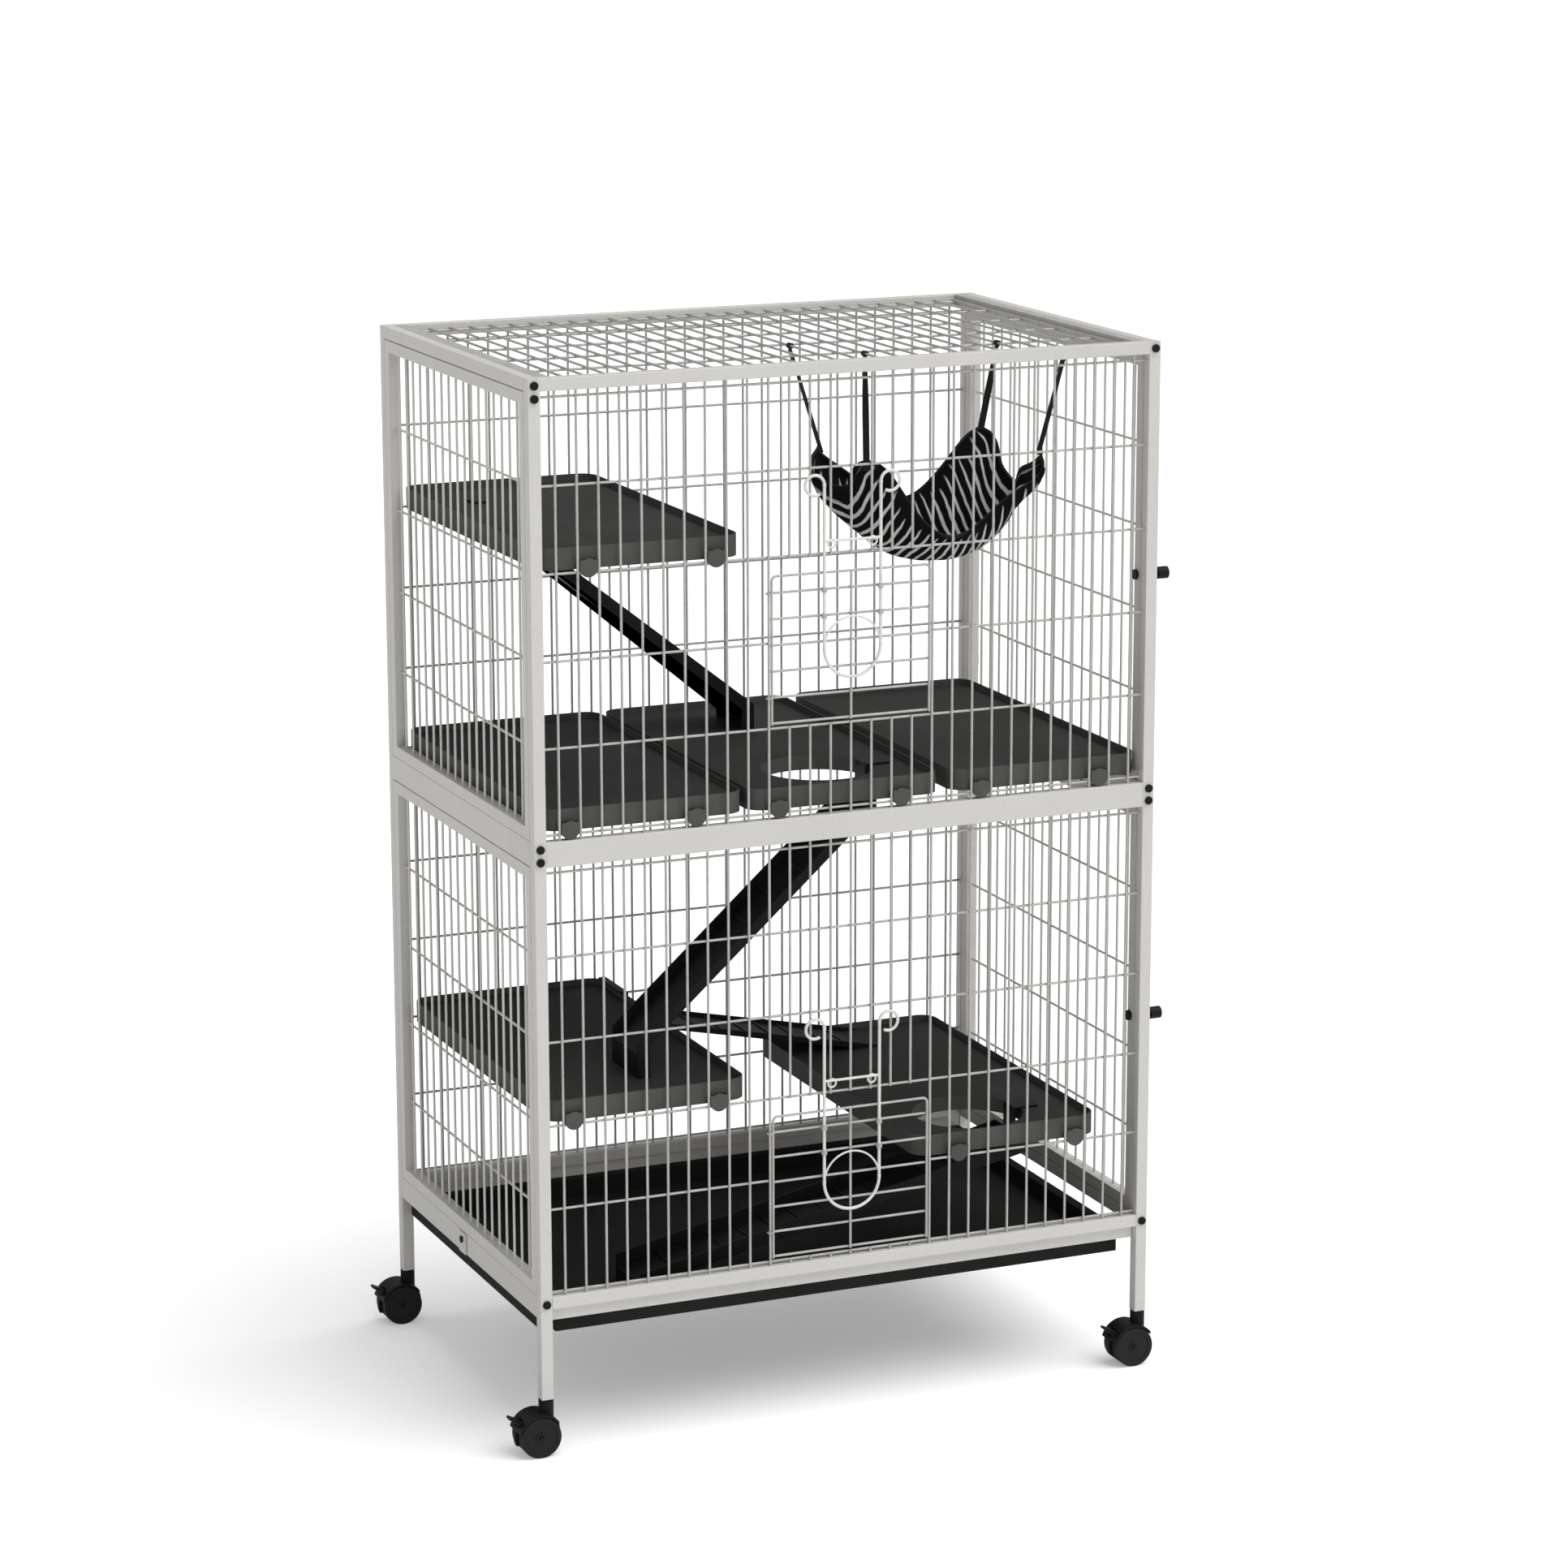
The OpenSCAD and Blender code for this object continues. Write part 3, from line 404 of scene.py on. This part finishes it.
@dataclass(frozen=True)
class Webbing:
    """Flat woven tape: ribs across it, bent into waves across its width."""

    name: str = "webbing"
    light: Colour = (0.018, 0.018, 0.019)
    dark: Colour = (0.005, 0.005, 0.0055)
    ribs: float = 1900.0

    def make(self) -> bpy.types.Material:
        """Returns the material."""
        g = Graph(self.name)
        uv = g.add("ShaderNodeTexCoord", output="UV")
        parts = g.add("ShaderNodeSeparateXYZ", {}, {0: uv})
        across = Value(g, parts.socket.node.outputs[1])
        rib = (parts * self.ribs + (across * 12.6).wave() * 0.8).wave() * 0.5 + 0.5
        yarn = g.cloud(1600.0, 2.0)
        g.dress(
            Base_Color=g.blend(rib * (yarn * 0.6 + 0.4), self.dark, self.light),
            Roughness=rib * 0.1 + 0.72,
            Specular_IOR_Level=0.2,
            Sheen_Weight=0.1,
        )
        g.bump(rib * 0.8 + yarn * 0.4, 0.7, 0.0003)
        return g.material


# ---------- modelling helpers ----------
def deselect() -> None:
    """Leaves edit mode and clears the selection."""
    if bpy.context.object and bpy.context.object.mode != "OBJECT":
        bpy.ops.object.mode_set(mode="OBJECT")
    bpy.ops.object.select_all(action="DESELECT")


def hold(piece: bpy.types.Object) -> bpy.types.Object:
    """Selects one object alone and makes it active."""
    deselect()
    piece.select_set(True)
    bpy.context.view_layer.objects.active = piece
    return piece


def settle(piece: bpy.types.Object) -> None:
    """Moves an object's place, turn and scale into its mesh."""
    hold(piece)
    bpy.ops.object.transform_apply(location=True, rotation=True, scale=True)


def finish_edges(piece: bpy.types.Object, angle: float = 35.0) -> None:
    """Shades smooth up to an angle and evens the normals of large flats."""
    hold(piece)
    bpy.ops.object.shade_smooth_by_angle(angle=math.radians(angle), keep_sharp_edges=False)
    even = piece.modifiers.new("even", "WEIGHTED_NORMAL")
    even.keep_sharp = True
    even.weight = 60
    bpy.ops.object.modifier_apply(modifier=even.name)


def pick(piece: bpy.types.Object, test: Callable[[bmesh.types.BMEdge], bool]) -> int:
    """Selects edges in edit mode.

    Args:
        piece: The object, already in edit mode.
        test: Says whether an edge is taken.

    Returns:
        How many were taken.
    """
    bpy.ops.mesh.select_mode(type="EDGE")
    bpy.ops.mesh.select_all(action="DESELECT")
    mesh = bmesh.from_edit_mesh(piece.data)
    taken = [edge for edge in mesh.edges if test(edge)]
    for edge in taken:
        edge.select_set(True)
    bmesh.update_edit_mesh(piece.data)
    return len(taken)


def sharp_and_long(shortest: float) -> Callable[[bmesh.types.BMEdge], bool]:
    """Returns a test for outward edges of at least a length, in metres."""

    def test(edge: bmesh.types.BMEdge) -> bool:
        """Says whether an edge is an outward corner that is long enough."""
        if len(edge.link_faces) != 2 or edge.calc_length() < shortest:
            return False
        return edge.calc_face_angle_signed(0.0) > math.radians(50)

    return test


def eased_copy(node: str, ease: float, shortest: float, segments: int = 3) -> bpy.types.Object:
    """Copies a CAD node and eases its outward edges, as moulding or paint does.

    Args:
        node: Name of the node.
        ease: Width of the eased edge, in metres.
        shortest: Shortest edge that is eased, in metres.
        segments: Steps across the eased edge.

    Returns:
        The new object, at the origin.
    """
    source = frame["nodes"][node]
    piece = bpy.data.objects.new(f"{node}.eased", source.data.copy())
    bpy.context.scene.collection.objects.link(piece)
    hold(piece)
    bpy.ops.object.mode_set(mode="EDIT")
    bpy.ops.mesh.select_all(action="SELECT")
    bpy.ops.mesh.customdata_custom_splitnormals_clear()
    bpy.ops.mesh.remove_doubles(threshold=0.00001)
    bpy.ops.mesh.dissolve_limited(angle_limit=math.radians(0.4))
    if pick(piece, sharp_and_long(shortest)):
        bpy.ops.mesh.bevel(offset=ease, segments=segments, profile=0.5,
                           clamp_overlap=True, affect="EDGES")
    bpy.ops.object.mode_set(mode="OBJECT")
    finish_edges(piece)
    return piece


def dress(piece: bpy.types.Object, material: bpy.types.Material) -> bpy.types.Object:
    """Gives an object one material in place of what it has."""
    piece.data.materials.clear()
    piece.data.materials.append(material)
    return piece


def dress_node(node: str, material: bpy.types.Material) -> None:
    """Gives a CAD node that stays in view a material in each of its slots."""
    part = frame["nodes"][node]
    if not part.data.materials:
        part.data.materials.append(material)
    for slot in part.material_slots:
        slot.material = material
    log.info("%s keeps its shape and takes %s", node, material.name)


def body_of(node: str) -> str:
    """Returns the name of the body that a CAD node rides on."""
    return frame["nodes"][node].parent.name.removeprefix("body:")


def stand_in(piece: bpy.types.Object, node: str) -> bpy.types.Object:
    """Lets a piece stand for a CAD node on the node's own body."""
    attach(piece, body_of(node))
    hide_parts(node)
    log.info("%s: %d faces", piece.name, len(piece.data.polygons))
    return piece


class Slot(Enum):
    """The record's material slots."""

    PAINT = "frame_paint"
    WIRE = "wire_coat"
    BRIGHT = "bright_wire"
    STEEL = "hinge_steel"
    SHELF = "shelf_plastic"
    BLACK = "black_plastic"
    WHEEL = "wheel_plastic"
    CLOTH = "printed_cloth"
    TAPE = "webbing"


@dataclass
class Palette:
    """Every material, made once and shared by the sub-assemblies."""

    by_slot: dict[Slot, bpy.types.Material] = field(default_factory=dict)

    def __post_init__(self) -> None:
        """Makes the materials."""
        self.by_slot = {
            Slot.PAINT: PowderCoat().make(),
            Slot.WIRE: CoatedWire().make(),
            Slot.BRIGHT: CoatedWire("bright_wire", (0.8, 0.79, 0.77), (0.66, 0.65, 0.63),
                                    0.3, 0.1).make(),
            Slot.STEEL: PlatedSteel().make(),
            # The shelves' tops take a painted shade at half the dark tone.
            Slot.SHELF: MouldedPlastic("shelf_plastic", painted_top_shade=0.5).make(),
            Slot.BLACK: MouldedPlastic("black_plastic", (0.009, 0.009, 0.009),
                                       (0.005, 0.005, 0.005), 0.5, 1100.0, 0.0001, 0.25,
                                       0.16).make(),
            Slot.WHEEL: MouldedPlastic("wheel_plastic", (0.016, 0.016, 0.0157),
                                       (0.009, 0.009, 0.009), 0.52, 900.0, 0.00012, 0.4,
                                       0.2).make(),
            Slot.CLOTH: StripedCloth().make(),
            Slot.TAPE: Webbing().make(),
        }

    def __getitem__(self, slot: Slot) -> bpy.types.Material:
        """Returns the material of a slot."""
        return self.by_slot[slot]


@dataclass
class EasedSet:
    """CAD nodes that are shown as copies with eased edges.

    Attributes:
        nodes: The nodes' names.
        slot: Material slot that they take.
        ease: Width of the eased edges, in metres.
        shortest: Shortest edge that is eased, in metres.
    """

    nodes: tuple[str, ...]
    slot: Slot
    ease: float
    shortest: float

    def build(self, palette: Palette) -> None:
        """Makes and places each copy."""
        for node in self.nodes:
            piece = eased_copy(node, self.ease, self.shortest)
            stand_in(dress(piece, palette[self.slot]), node)


@dataclass
class TubeFrame:
    """The bolted frame of square tube and its bolt caps."""

    ease: float = 1.1 * MM

    def build(self, palette: Palette) -> None:
        """Makes posts, rails, side panels and side doors with rounded tube edges."""
        posts = tuple(f"{end}_{side}_post" for end in ("front", "back")
                      for side in ("left", "right"))
        rails = tuple(f"{end}_{level}_rail" for end in ("front", "back")
                      for level in ("top", "middle", "bottom"))
        panels = ("left_upper_panel", "left_lower_panel", "right_upper_door",
                  "right_lower_door")
        sides = ("left_side_rails", "right_side_rails")
        EasedSet(posts + rails + sides + panels, Slot.PAINT, self.ease, 0.1).build(palette)
        EasedSet(("tray_clip", "tray_runners"), Slot.PAINT, 0.35 * MM, 0.01).build(palette)
        EasedSet(("frame_bolts",), Slot.BLACK, 1.1 * MM, 0.4 * MM).build(palette)
        EasedSet(("upper_door_knob", "lower_door_knob"), Slot.BLACK, 0.9 * MM,
                 0.6 * MM).build(palette)
        EasedSet(("side_door_hinges",), Slot.STEEL, 0.25 * MM, 0.3 * MM).build(palette)


@dataclass
class WireWork:
    """The grids, the top, the small doors and their ring latches."""

    grids: tuple[str, ...] = ("front_upper_grid", "front_lower_grid", "back_upper_grid",
                              "back_lower_grid", "top_grid", "upper_small_door",
                              "lower_small_door")
    latches: tuple[str, ...] = ("upper_ring_latch", "lower_ring_latch")

    def build(self, palette: Palette) -> None:
        """Gives the wire nodes their finishes."""
        for node in self.grids:
            dress_node(node, palette[Slot.WIRE])
        for node in self.latches:
            dress_node(node, palette[Slot.BRIGHT])


@dataclass
class Furnishings:
    """Shelves, ramps and the floor tray."""

    shelf_ease: float = 0.9 * MM

    def build(self, palette: Palette) -> None:
        """Makes the moulded pieces with eased edges."""
        shelves = ("upper_left_shelf", "middle_left_shelf", "middle_centre_shelf",
                   "middle_right_shelf", "lower_left_shelf", "lower_right_shelf")
        EasedSet(shelves, Slot.SHELF, self.shelf_ease, 1.2 * MM).build(palette)
        tray = stand_in(dress(eased_copy("floor_tray", 0.5 * MM, 2 * MM),
                              MouldedPlastic("tray_plastic", (0.021, 0.0207, 0.02),
                                             (0.012, 0.0119, 0.0115)).make()),
                        "floor_tray")
        log.info("%s slides on its own joint", tray.name)
        ramps = ("upper_ramp", "middle_ramp", "bridge_ramp", "lower_ramp")
        EasedSet(ramps, Slot.BLACK, 0.7 * MM, 4 * MM).build(palette)


@dataclass
class Casters:
    """Four twin-wheel casters with brake levers, and the stems in the legs."""

    corners: tuple[str, ...] = ("front_left", "front_right", "back_left", "back_right")

    def build(self, palette: Palette) -> None:
        """Makes each caster's pieces with rounded edges."""
        for part, slot, ease, shortest in (
            ("caster", Slot.BLACK, 0.7 * MM, 1.0 * MM),
            ("wheels", Slot.WHEEL, 1.4 * MM, 1.0 * MM),
            ("brake", Slot.BLACK, 0.6 * MM, 1.0 * MM),
        ):
            nodes = tuple(f"{corner}_{part}" for corner in self.corners)
            EasedSet(nodes, slot, ease, shortest).build(palette)
        dress_node("caster_stems", palette[Slot.STEEL])


# ---------- hammock ----------
def arch(share: float) -> float:
    """Returns a parabola that is 0 at both ends and 1 halfway."""
    return max(0.0, 4 * share * (1 - share))


def mix(first: float, second: float, share: float) -> float:
    """Returns the value that lies at a share of the way between two."""
    return first + (second - first) * share


@dataclass(frozen=True)
class Pull:
    """A soft local shift of the cloth.

    Attributes:
        u: Place along the cloth.
        v: Place across it.
        wide_u: How far the shift reaches along.
        wide_v: How far it reaches across.
        right: Shift to the right, in millimetres.
        up: Shift upwards, in millimetres.
    """

    u: float
    v: float
    wide_u: float
    wide_v: float
    right: float
    up: float

    def at(self, u: float, v: float) -> Vector:
        """Returns the shift of one point, in metres."""
        away = ((u - self.u) / self.wide_u) ** 2 + ((v - self.v) / self.wide_v) ** 2
        return Vector((self.right, 0.0, self.up)) * (MM * math.exp(-away))


@dataclass
class Hammock:
    """The hanging cloth and its four flat straps.

    Attributes:
        corners: Back left, front left, back right and front right, in metres.
        low: Height of the lowest point of the cloth.
        steps: Divisions along and across the cloth.
        hem_steps: Divisions of the binding along and across the cloth.
        hem_radius: Half the thickness of the binding.
        cloth: Thickness of the two sewn layers.
        flat_size: Length and width of the cloth laid out, in metres.
        pulls: Local shifts that give each corner its form.
    """

    corners: tuple[Trio, ...] = ((0.036, -0.080, 1.155), (0.056, -0.175, 1.146),
                                 (0.230, -0.125, 1.169), (0.262, -0.222, 1.159))
    low: float = 1.0195
    steps: tuple[int, int] = (88, 44)
    hem_steps: tuple[int, int] = (60, 36)
    hem_radius: float = 1.9 * MM
    cloth: float = 2.6 * MM
    flat_size: tuple[float, float] = (0.36, 0.2)
    pulls: tuple[Pull, ...] = (
        Pull(0.03, 0.80, 0.11, 0.20, -22.0, -6.0),
        Pull(0.00, 0.12, 0.08, 0.12, -7.0, 0.0),
        Pull(1.00, 0.88, 0.08, 0.12, 9.0, 0.0),
        Pull(0.92, 0.00, 0.08, 0.12, 18.0, -4.0),
        Pull(1.00, 0.24, 0.08, 0.13, -8.0, 10.0),
        Pull(1.00, 0.60, 0.10, 0.20, 5.0, 6.0),
    )

    def flat(self, u: float, v: float) -> Vector:
        """Returns the point between the four corners."""
        bl, fl, br, fr = (Vector(c) for c in self.corners)
        return fl.lerp(bl, v).lerp(fr.lerp(br, v), u)

    def sag(self, u: float, v: float) -> float:
        """Returns how far the cloth hangs under that point.

        The edges leave the front left and the back right corner nearly level,
        so the cloth stands up there in a broad tongue, and fall steeply from
        the other two.
        """
        deep = sum(c[2] for c in self.corners) / 4 - self.low
        long_edge = mix(mix(2.5, 1.15, v), mix(0.8, 2.0, v), u)
        short_edge = mix(mix(1.7, 0.9, v), mix(0.9, 1.6, v), u)
        inner = arch(v) ** 0.6
        along = arch(u) ** mix(long_edge, mix(0.68, 1.0, u), inner)
        return deep * (along * mix(0.72, 0.55, v) + arch(v) ** short_edge * mix(0.29, 0.43, u))

    def fold(self, u: float, v: float) -> Vector:
        """Returns the shift of the gathers that run out of the corners."""
        shift = Vector((0.0, 0.0, 0.0))
        for cu, cv, turns, tall in ((0, 1, 5, 4.5), (0, 0, 4, 4.0), (1, 1, 4, 4.0),
                                    (1, 0, 5, 4.5)):
            du, dv = abs(u - cu) * 0.30, abs(v - cv) * 0.19
            reach = math.hypot(du, dv)
            turn = math.atan2(dv, du)
            grip = math.exp(-((reach / 0.065) ** 2)) * min(1.0, reach / 0.03)
            shift.z += grip * tall * MM * 0.3 * math.sin(turn * turns * 2.0 + cu * 1.3)
            shift.y += grip * tall * MM * 0.5 * math.cos(turn * turns * 2.0 + cv) * (
                1 if cv == 0 else -1)
        wavy = noise.noise(Vector((u * 4.2, v * 2.6, 3.7)))
        fine = noise.noise(Vector((u * 11.0, v * 6.0, 9.1)))
        calm = min(1.0, 6 * v * (1 - v) + 0.25)
        shift.z += (wavy * 4.0 + fine * 1.4) * MM * calm
        shift.y += noise.noise(Vector((u * 5.0, v * 3.1, 15.2))) * 3.0 * MM
        return shift

    def point(self, u: float, v: float) -> Vector:
        """Returns the cloth's surface point."""
        upright = arch(v) ** 0.5
        place = self.flat(mix(u, mix(u, (1 - math.cos(math.pi * u)) / 2, 0.6), upright), v)
        place.z = self.flat(u, v).z - self.sag(u, v)
        free = 1.0 - math.exp(-((math.hypot((u - round(u)) * 1.6, v - round(v)) / 0.035) ** 2))
        for pull in self.pulls:
            place += pull.at(u, v) * free
        return place + self.fold(u, v)

    def sheet(self, palette: Palette) -> bpy.types.Object:
        """Returns the cloth, made from a plane that is divided, moved and thickened."""
        deselect()
        nu, nv = self.steps
        bpy.ops.mesh.primitive_grid_add(x_subdivisions=nu, y_subdivisions=nv, size=1.0,
                                        calc_uvs=True)
        cloth = bpy.context.active_object
        cloth.name = "hammock_cloth"
        for vertex in cloth.data.vertices:
            vertex.co = self.point(vertex.co.x + 0.5, vertex.co.y + 0.5)
        settle(cloth)
        walls = cloth.modifiers.new("walls", "SOLIDIFY")
        walls.thickness = self.cloth
        walls.offset = -1.0
        bpy.ops.object.modifier_apply(modifier=walls.name)
        bpy.ops.object.shade_smooth()
        dress(cloth, palette[Slot.CLOTH])
        return cloth

    def hem(self, palette: Palette) -> bpy.types.Object:
        """Returns the binding that is sewn round the cloth's edge."""
        long, short = self.hem_steps
        ring = [(t / long, 0.0) for t in range(long)]
        ring += [(1.0, t / short) for t in range(short)]
        ring += [(1 - t / long, 1.0) for t in range(long)]
        ring += [(0.0, 1 - t / short) for t in range(short)]
        curve = bpy.data.curves.new("hem", "CURVE")
        curve.dimensions = "3D"
        line = curve.splines.new("POLY")
        line.points.add(len(ring) - 1)
        for knot, (u, v) in zip(line.points, ring):
            place = self.point(u, v)
            knot.co = (place.x, place.y, place.z - self.cloth / 2, 1.0)
        line.use_cyclic_u = True
        curve.bevel_depth = self.hem_radius
        curve.bevel_resolution = 3
        hem = bpy.data.objects.new("hammock_hem", curve)
        bpy.context.scene.collection.objects.link(hem)
        hold(hem)
        bpy.ops.object.convert(target="MESH")
        bpy.ops.object.shade_smooth()
        return dress(bpy.context.active_object, palette[Slot.TAPE])

    def area(self) -> float:
        """Returns the area of the hung form in square metres, as coarse facets measure it."""
        total = 0.0
        n = 30
        for i in range(n):
            for j in range(n):
                a, b, c = (self.point(*uv) for uv in
                           ((i / n, j / n), ((i + 1) / n, j / n), (i / n, (j + 1) / n)))
                total += (b - a).cross(c - a).length
        return total

    def build(self, palette: Palette) -> None:
        """Makes the cloth, its hem and the straps."""
        cloth = self.sheet(palette)
        stand_in(cloth, "hammock")
        hem = self.hem(palette)
        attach(hem, body_of("hammock"))
        straps = [strap.build(palette) for strap in HAMMOCK_STRAPS]
        whole = self.flat_size[0] * self.flat_size[1]
        min(self.area(), 0.999 * whole)
        log.info("cloth area %.4f m2", self.area())


@dataclass
class Strap:
    """One flat strap from a corner of the cloth over a wire of the top.

    Attributes:
        name: The piece's name.
        foot: Where it is sewn to the cloth, in metres.
        wire: Middle of the wire that it is looped over.
        turn: Turn of its flat face at the foot, in degrees.
        width: Width of the tape.
        thick: Thickness of the tape.
        loop: Radius of the loop round the wire.
        tail: Length of the end that hangs beside the strap.
        sewn: How far it runs on past the foot, into the cloth.
    """

    name: str
    foot: Trio
    wire: Trio
    turn: float
    width: float = 8.0 * MM
    thick: float = 1.3 * MM
    loop: float = 3.0 * MM
    tail: float = 26.0 * MM
    sewn: float = 0.012

    def line(self) -> list[tuple[Vector, float]]:
        """Returns the centre line as points with the share of the twist at each."""
        foot, wire = Vector(self.foot), Vector(self.wire)
        top = wire - Vector((0, 0, self.loop))
        way = (top - foot).normalized()
        low = foot - way * self.sewn
        points = [(low.lerp(top, t / 30), 1.0 - t / 30) for t in range(30)]
        for step in range(13):
            a = math.radians(-90 + step * 30)
            points.append((wire + Vector((math.cos(a), 0, math.sin(a))) * self.loop, 0.0))
        side = Vector((-self.thick * 1.15, 0, 0))
        end = top - way * self.tail
        points += [(top.lerp(end, t / 6) + side, 0.0) for t in range(1, 7)]
        return points

    def build(self, palette: Palette) -> bpy.types.Object:
        """Returns the strap, made from a plane that follows the line."""
        points = self.line()
        deselect()
        bpy.ops.mesh.primitive_grid_add(x_subdivisions=len(points) - 1, y_subdivisions=2,
                                        size=1.0, calc_uvs=True)
        strap = bpy.context.active_object
        strap.name = self.name
        run = [0.0]
        for (a, _), (b, _) in zip(points, points[1:]):
            run.append(run[-1] + (b - a).length)
        for vertex in strap.data.vertices:
            index = round((vertex.co.x + 0.5) * (len(points) - 1))
            place, twist = points[index]
            ahead = points[min(index + 1, len(points) - 1)][0]
            back = points[max(index - 1, 0)][0]
            way = (ahead - back).normalized()
            flat = Vector((0, 1, 0))
            flat = (flat - way * flat.dot(way)).normalized()
            flat = Quaternion(way, math.radians(self.turn * min(1.0, twist * 1.4))) @ flat
            vertex.co = place + flat * (vertex.co.y * self.width)
        settle(strap)
        uv = strap.data.uv_layers.active.data
        for corner in strap.data.loops:
            spot = uv[corner.index].uv
            spot.x = run[round(spot.x * (len(points) - 1))]
        walls = strap.modifiers.new("walls", "SOLIDIFY")
        walls.thickness = self.thick
        walls.offset = 0.0
        bpy.ops.object.modifier_apply(modifier=walls.name)
        finish_edges(strap, 50.0)
        return stand_in(dress(strap, palette[Slot.TAPE]), "hammock_straps")


PITCH = 26.2 * MM
TOP_RAIL_UNDERSIDE, HALF_TUBE, WIRE_RADIUS = 1265 * MM, 7.5 * MM, 1.26 * MM
TOP_WIRE = TOP_RAIL_UNDERSIDE + HALF_TUBE + WIRE_RADIUS
HAMMOCK_STRAPS = (
    Strap("strap_back_left", (0.036, -0.080, 1.155), (0.0, -0.077, TOP_WIRE), 10.0),
    Strap("strap_front_left", (0.056, -0.175, 1.146), (2 * PITCH, -0.178, TOP_WIRE), 70.0),
    Strap("strap_back_right", (0.230, -0.125, 1.169), (9 * PITCH, -0.155, TOP_WIRE), 70.0),
    Strap("strap_front_right", (0.262, -0.222, 1.159), (11 * PITCH, -0.233, TOP_WIRE), 10.0),
)


# ---------- studio ----------
@dataclass
class Studio:
    """White floor, soft light and the camera of the photograph."""

    eye: Trio = (-2.1581, -5.1000, 2.0006)
    yaw: float = 23.166
    pitch: float = 13.0
    roll: float = -0.113
    focal: float = 5685.26
    frame_px: float = 1932.0
    ambient: float = 0.42
    suns: tuple[tuple[str, float, Trio, float], ...] = (
        ("key", 2.1, (0.35, -0.32, 0.9), 58.0),
        ("front", 0.4, (0.1, -1.0, 0.12), 30.0),
    )
    glow: float = 0.28

    def camera(self) -> None:
        """Sets up the camera at the photograph's place and angle."""
        data = bpy.data.cameras.new("camera")
        data.sensor_width = 36.0
        data.lens = self.focal / self.frame_px * data.sensor_width
        data.clip_start, data.clip_end = 0.1, 400.0
        camera = bpy.data.objects.new("camera", data)
        bpy.context.scene.collection.objects.link(camera)
        yaw, pitch, roll = (math.radians(a) for a in (self.yaw, self.pitch, self.roll))
        ahead = Vector((math.sin(yaw) * math.cos(pitch), math.cos(yaw) * math.cos(pitch),
                        -math.sin(pitch)))
        right = Vector((math.cos(yaw), -math.sin(yaw), 0.0))
        up = right.cross(ahead)
        side = right * math.cos(roll) + up * math.sin(roll)
        head = up * math.cos(roll) - right * math.sin(roll)
        turn = Matrix((side, head, -ahead)).transposed()
        camera.matrix_world = Matrix.Translation(self.eye) @ turn.to_4x4()
        bpy.context.scene.camera = camera

    def lights(self) -> None:
        """Adds a high soft key light, a low front light and the even sky."""
        for name, energy, way, spread in self.suns:
            data = bpy.data.lights.new(name, "SUN")
            data.energy = energy
            data.angle = math.radians(spread)
            lamp = bpy.data.objects.new(name, data)
            lamp.rotation_mode = "QUATERNION"
            lamp.rotation_quaternion = Vector(way).to_track_quat("Z", "Y")
            bpy.context.scene.collection.objects.link(lamp)
        world = bpy.data.worlds.new("studio")
        world.use_nodes = True
        tree = world.node_tree
        sky = tree.nodes["Background"]
        sky.inputs["Color"].default_value = (1.0, 1.0, 1.0, 1.0)
        path = tree.nodes.new("ShaderNodeLightPath")
        seen = tree.nodes.new("ShaderNodeMath")
        seen.operation = "MAXIMUM"
        tree.links.new(path.outputs["Is Camera Ray"], seen.inputs[0])
        tree.links.new(path.outputs["Is Transmission Ray"], seen.inputs[1])
        strength = tree.nodes.new("ShaderNodeMapRange")
        strength.inputs["To Min"].default_value = self.ambient
        strength.inputs["To Max"].default_value = 1.0
        tree.links.new(seen.outputs[0], strength.inputs["Value"])
        tree.links.new(strength.outputs[0], sky.inputs["Strength"])
        bpy.context.scene.world = world

    def floor(self) -> None:
        """Adds the floor, which keeps the shadow and shows white to the camera."""
        deselect()
        bpy.ops.mesh.primitive_plane_add(size=160.0)
        floor = bpy.context.active_object
        floor.name = "studio_floor"
        g = Graph("studio_floor")
        g.dress(Base_Color=(0.95, 0.95, 0.95), Roughness=1.0, Specular_IOR_Level=0.0)
        seen = g.add("ShaderNodeLightPath", output="Is Camera Ray")
        glow = g.add("ShaderNodeEmission", {}, {"Strength": seen * self.glow})
        both = g.add("ShaderNodeAddShader", {}, {0: Value(g, g.shader.outputs[0]), 1: glow})
        output = g.tree.nodes["Material Output"]
        g.feed(output.inputs["Surface"], both)
        dress(floor, g.material)

    def build(self) -> None:
        """Sets up the studio."""
        scene = bpy.context.scene
        scene.view_settings.view_transform = "Standard"
        self.camera()
        self.lights()
        self.floor()


def corners(box: Iterable[Iterable[float]]) -> list[list[float]]:
    """Returns a box's two corners as plain lists."""
    return [[float(x) for x in corner] for corner in box]


def main() -> None:
    """Builds the looks of the cage in order."""
    logging.basicConfig(level=logging.INFO, format="%(message)s")
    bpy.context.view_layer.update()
    Studio().build()
    palette = Palette()
    TubeFrame().build(palette)
    WireWork().build(palette)
    Furnishings().build(palette)
    Casters().build(palette)
    Hammock().build(palette)


if __name__ == "__main__":
    main()
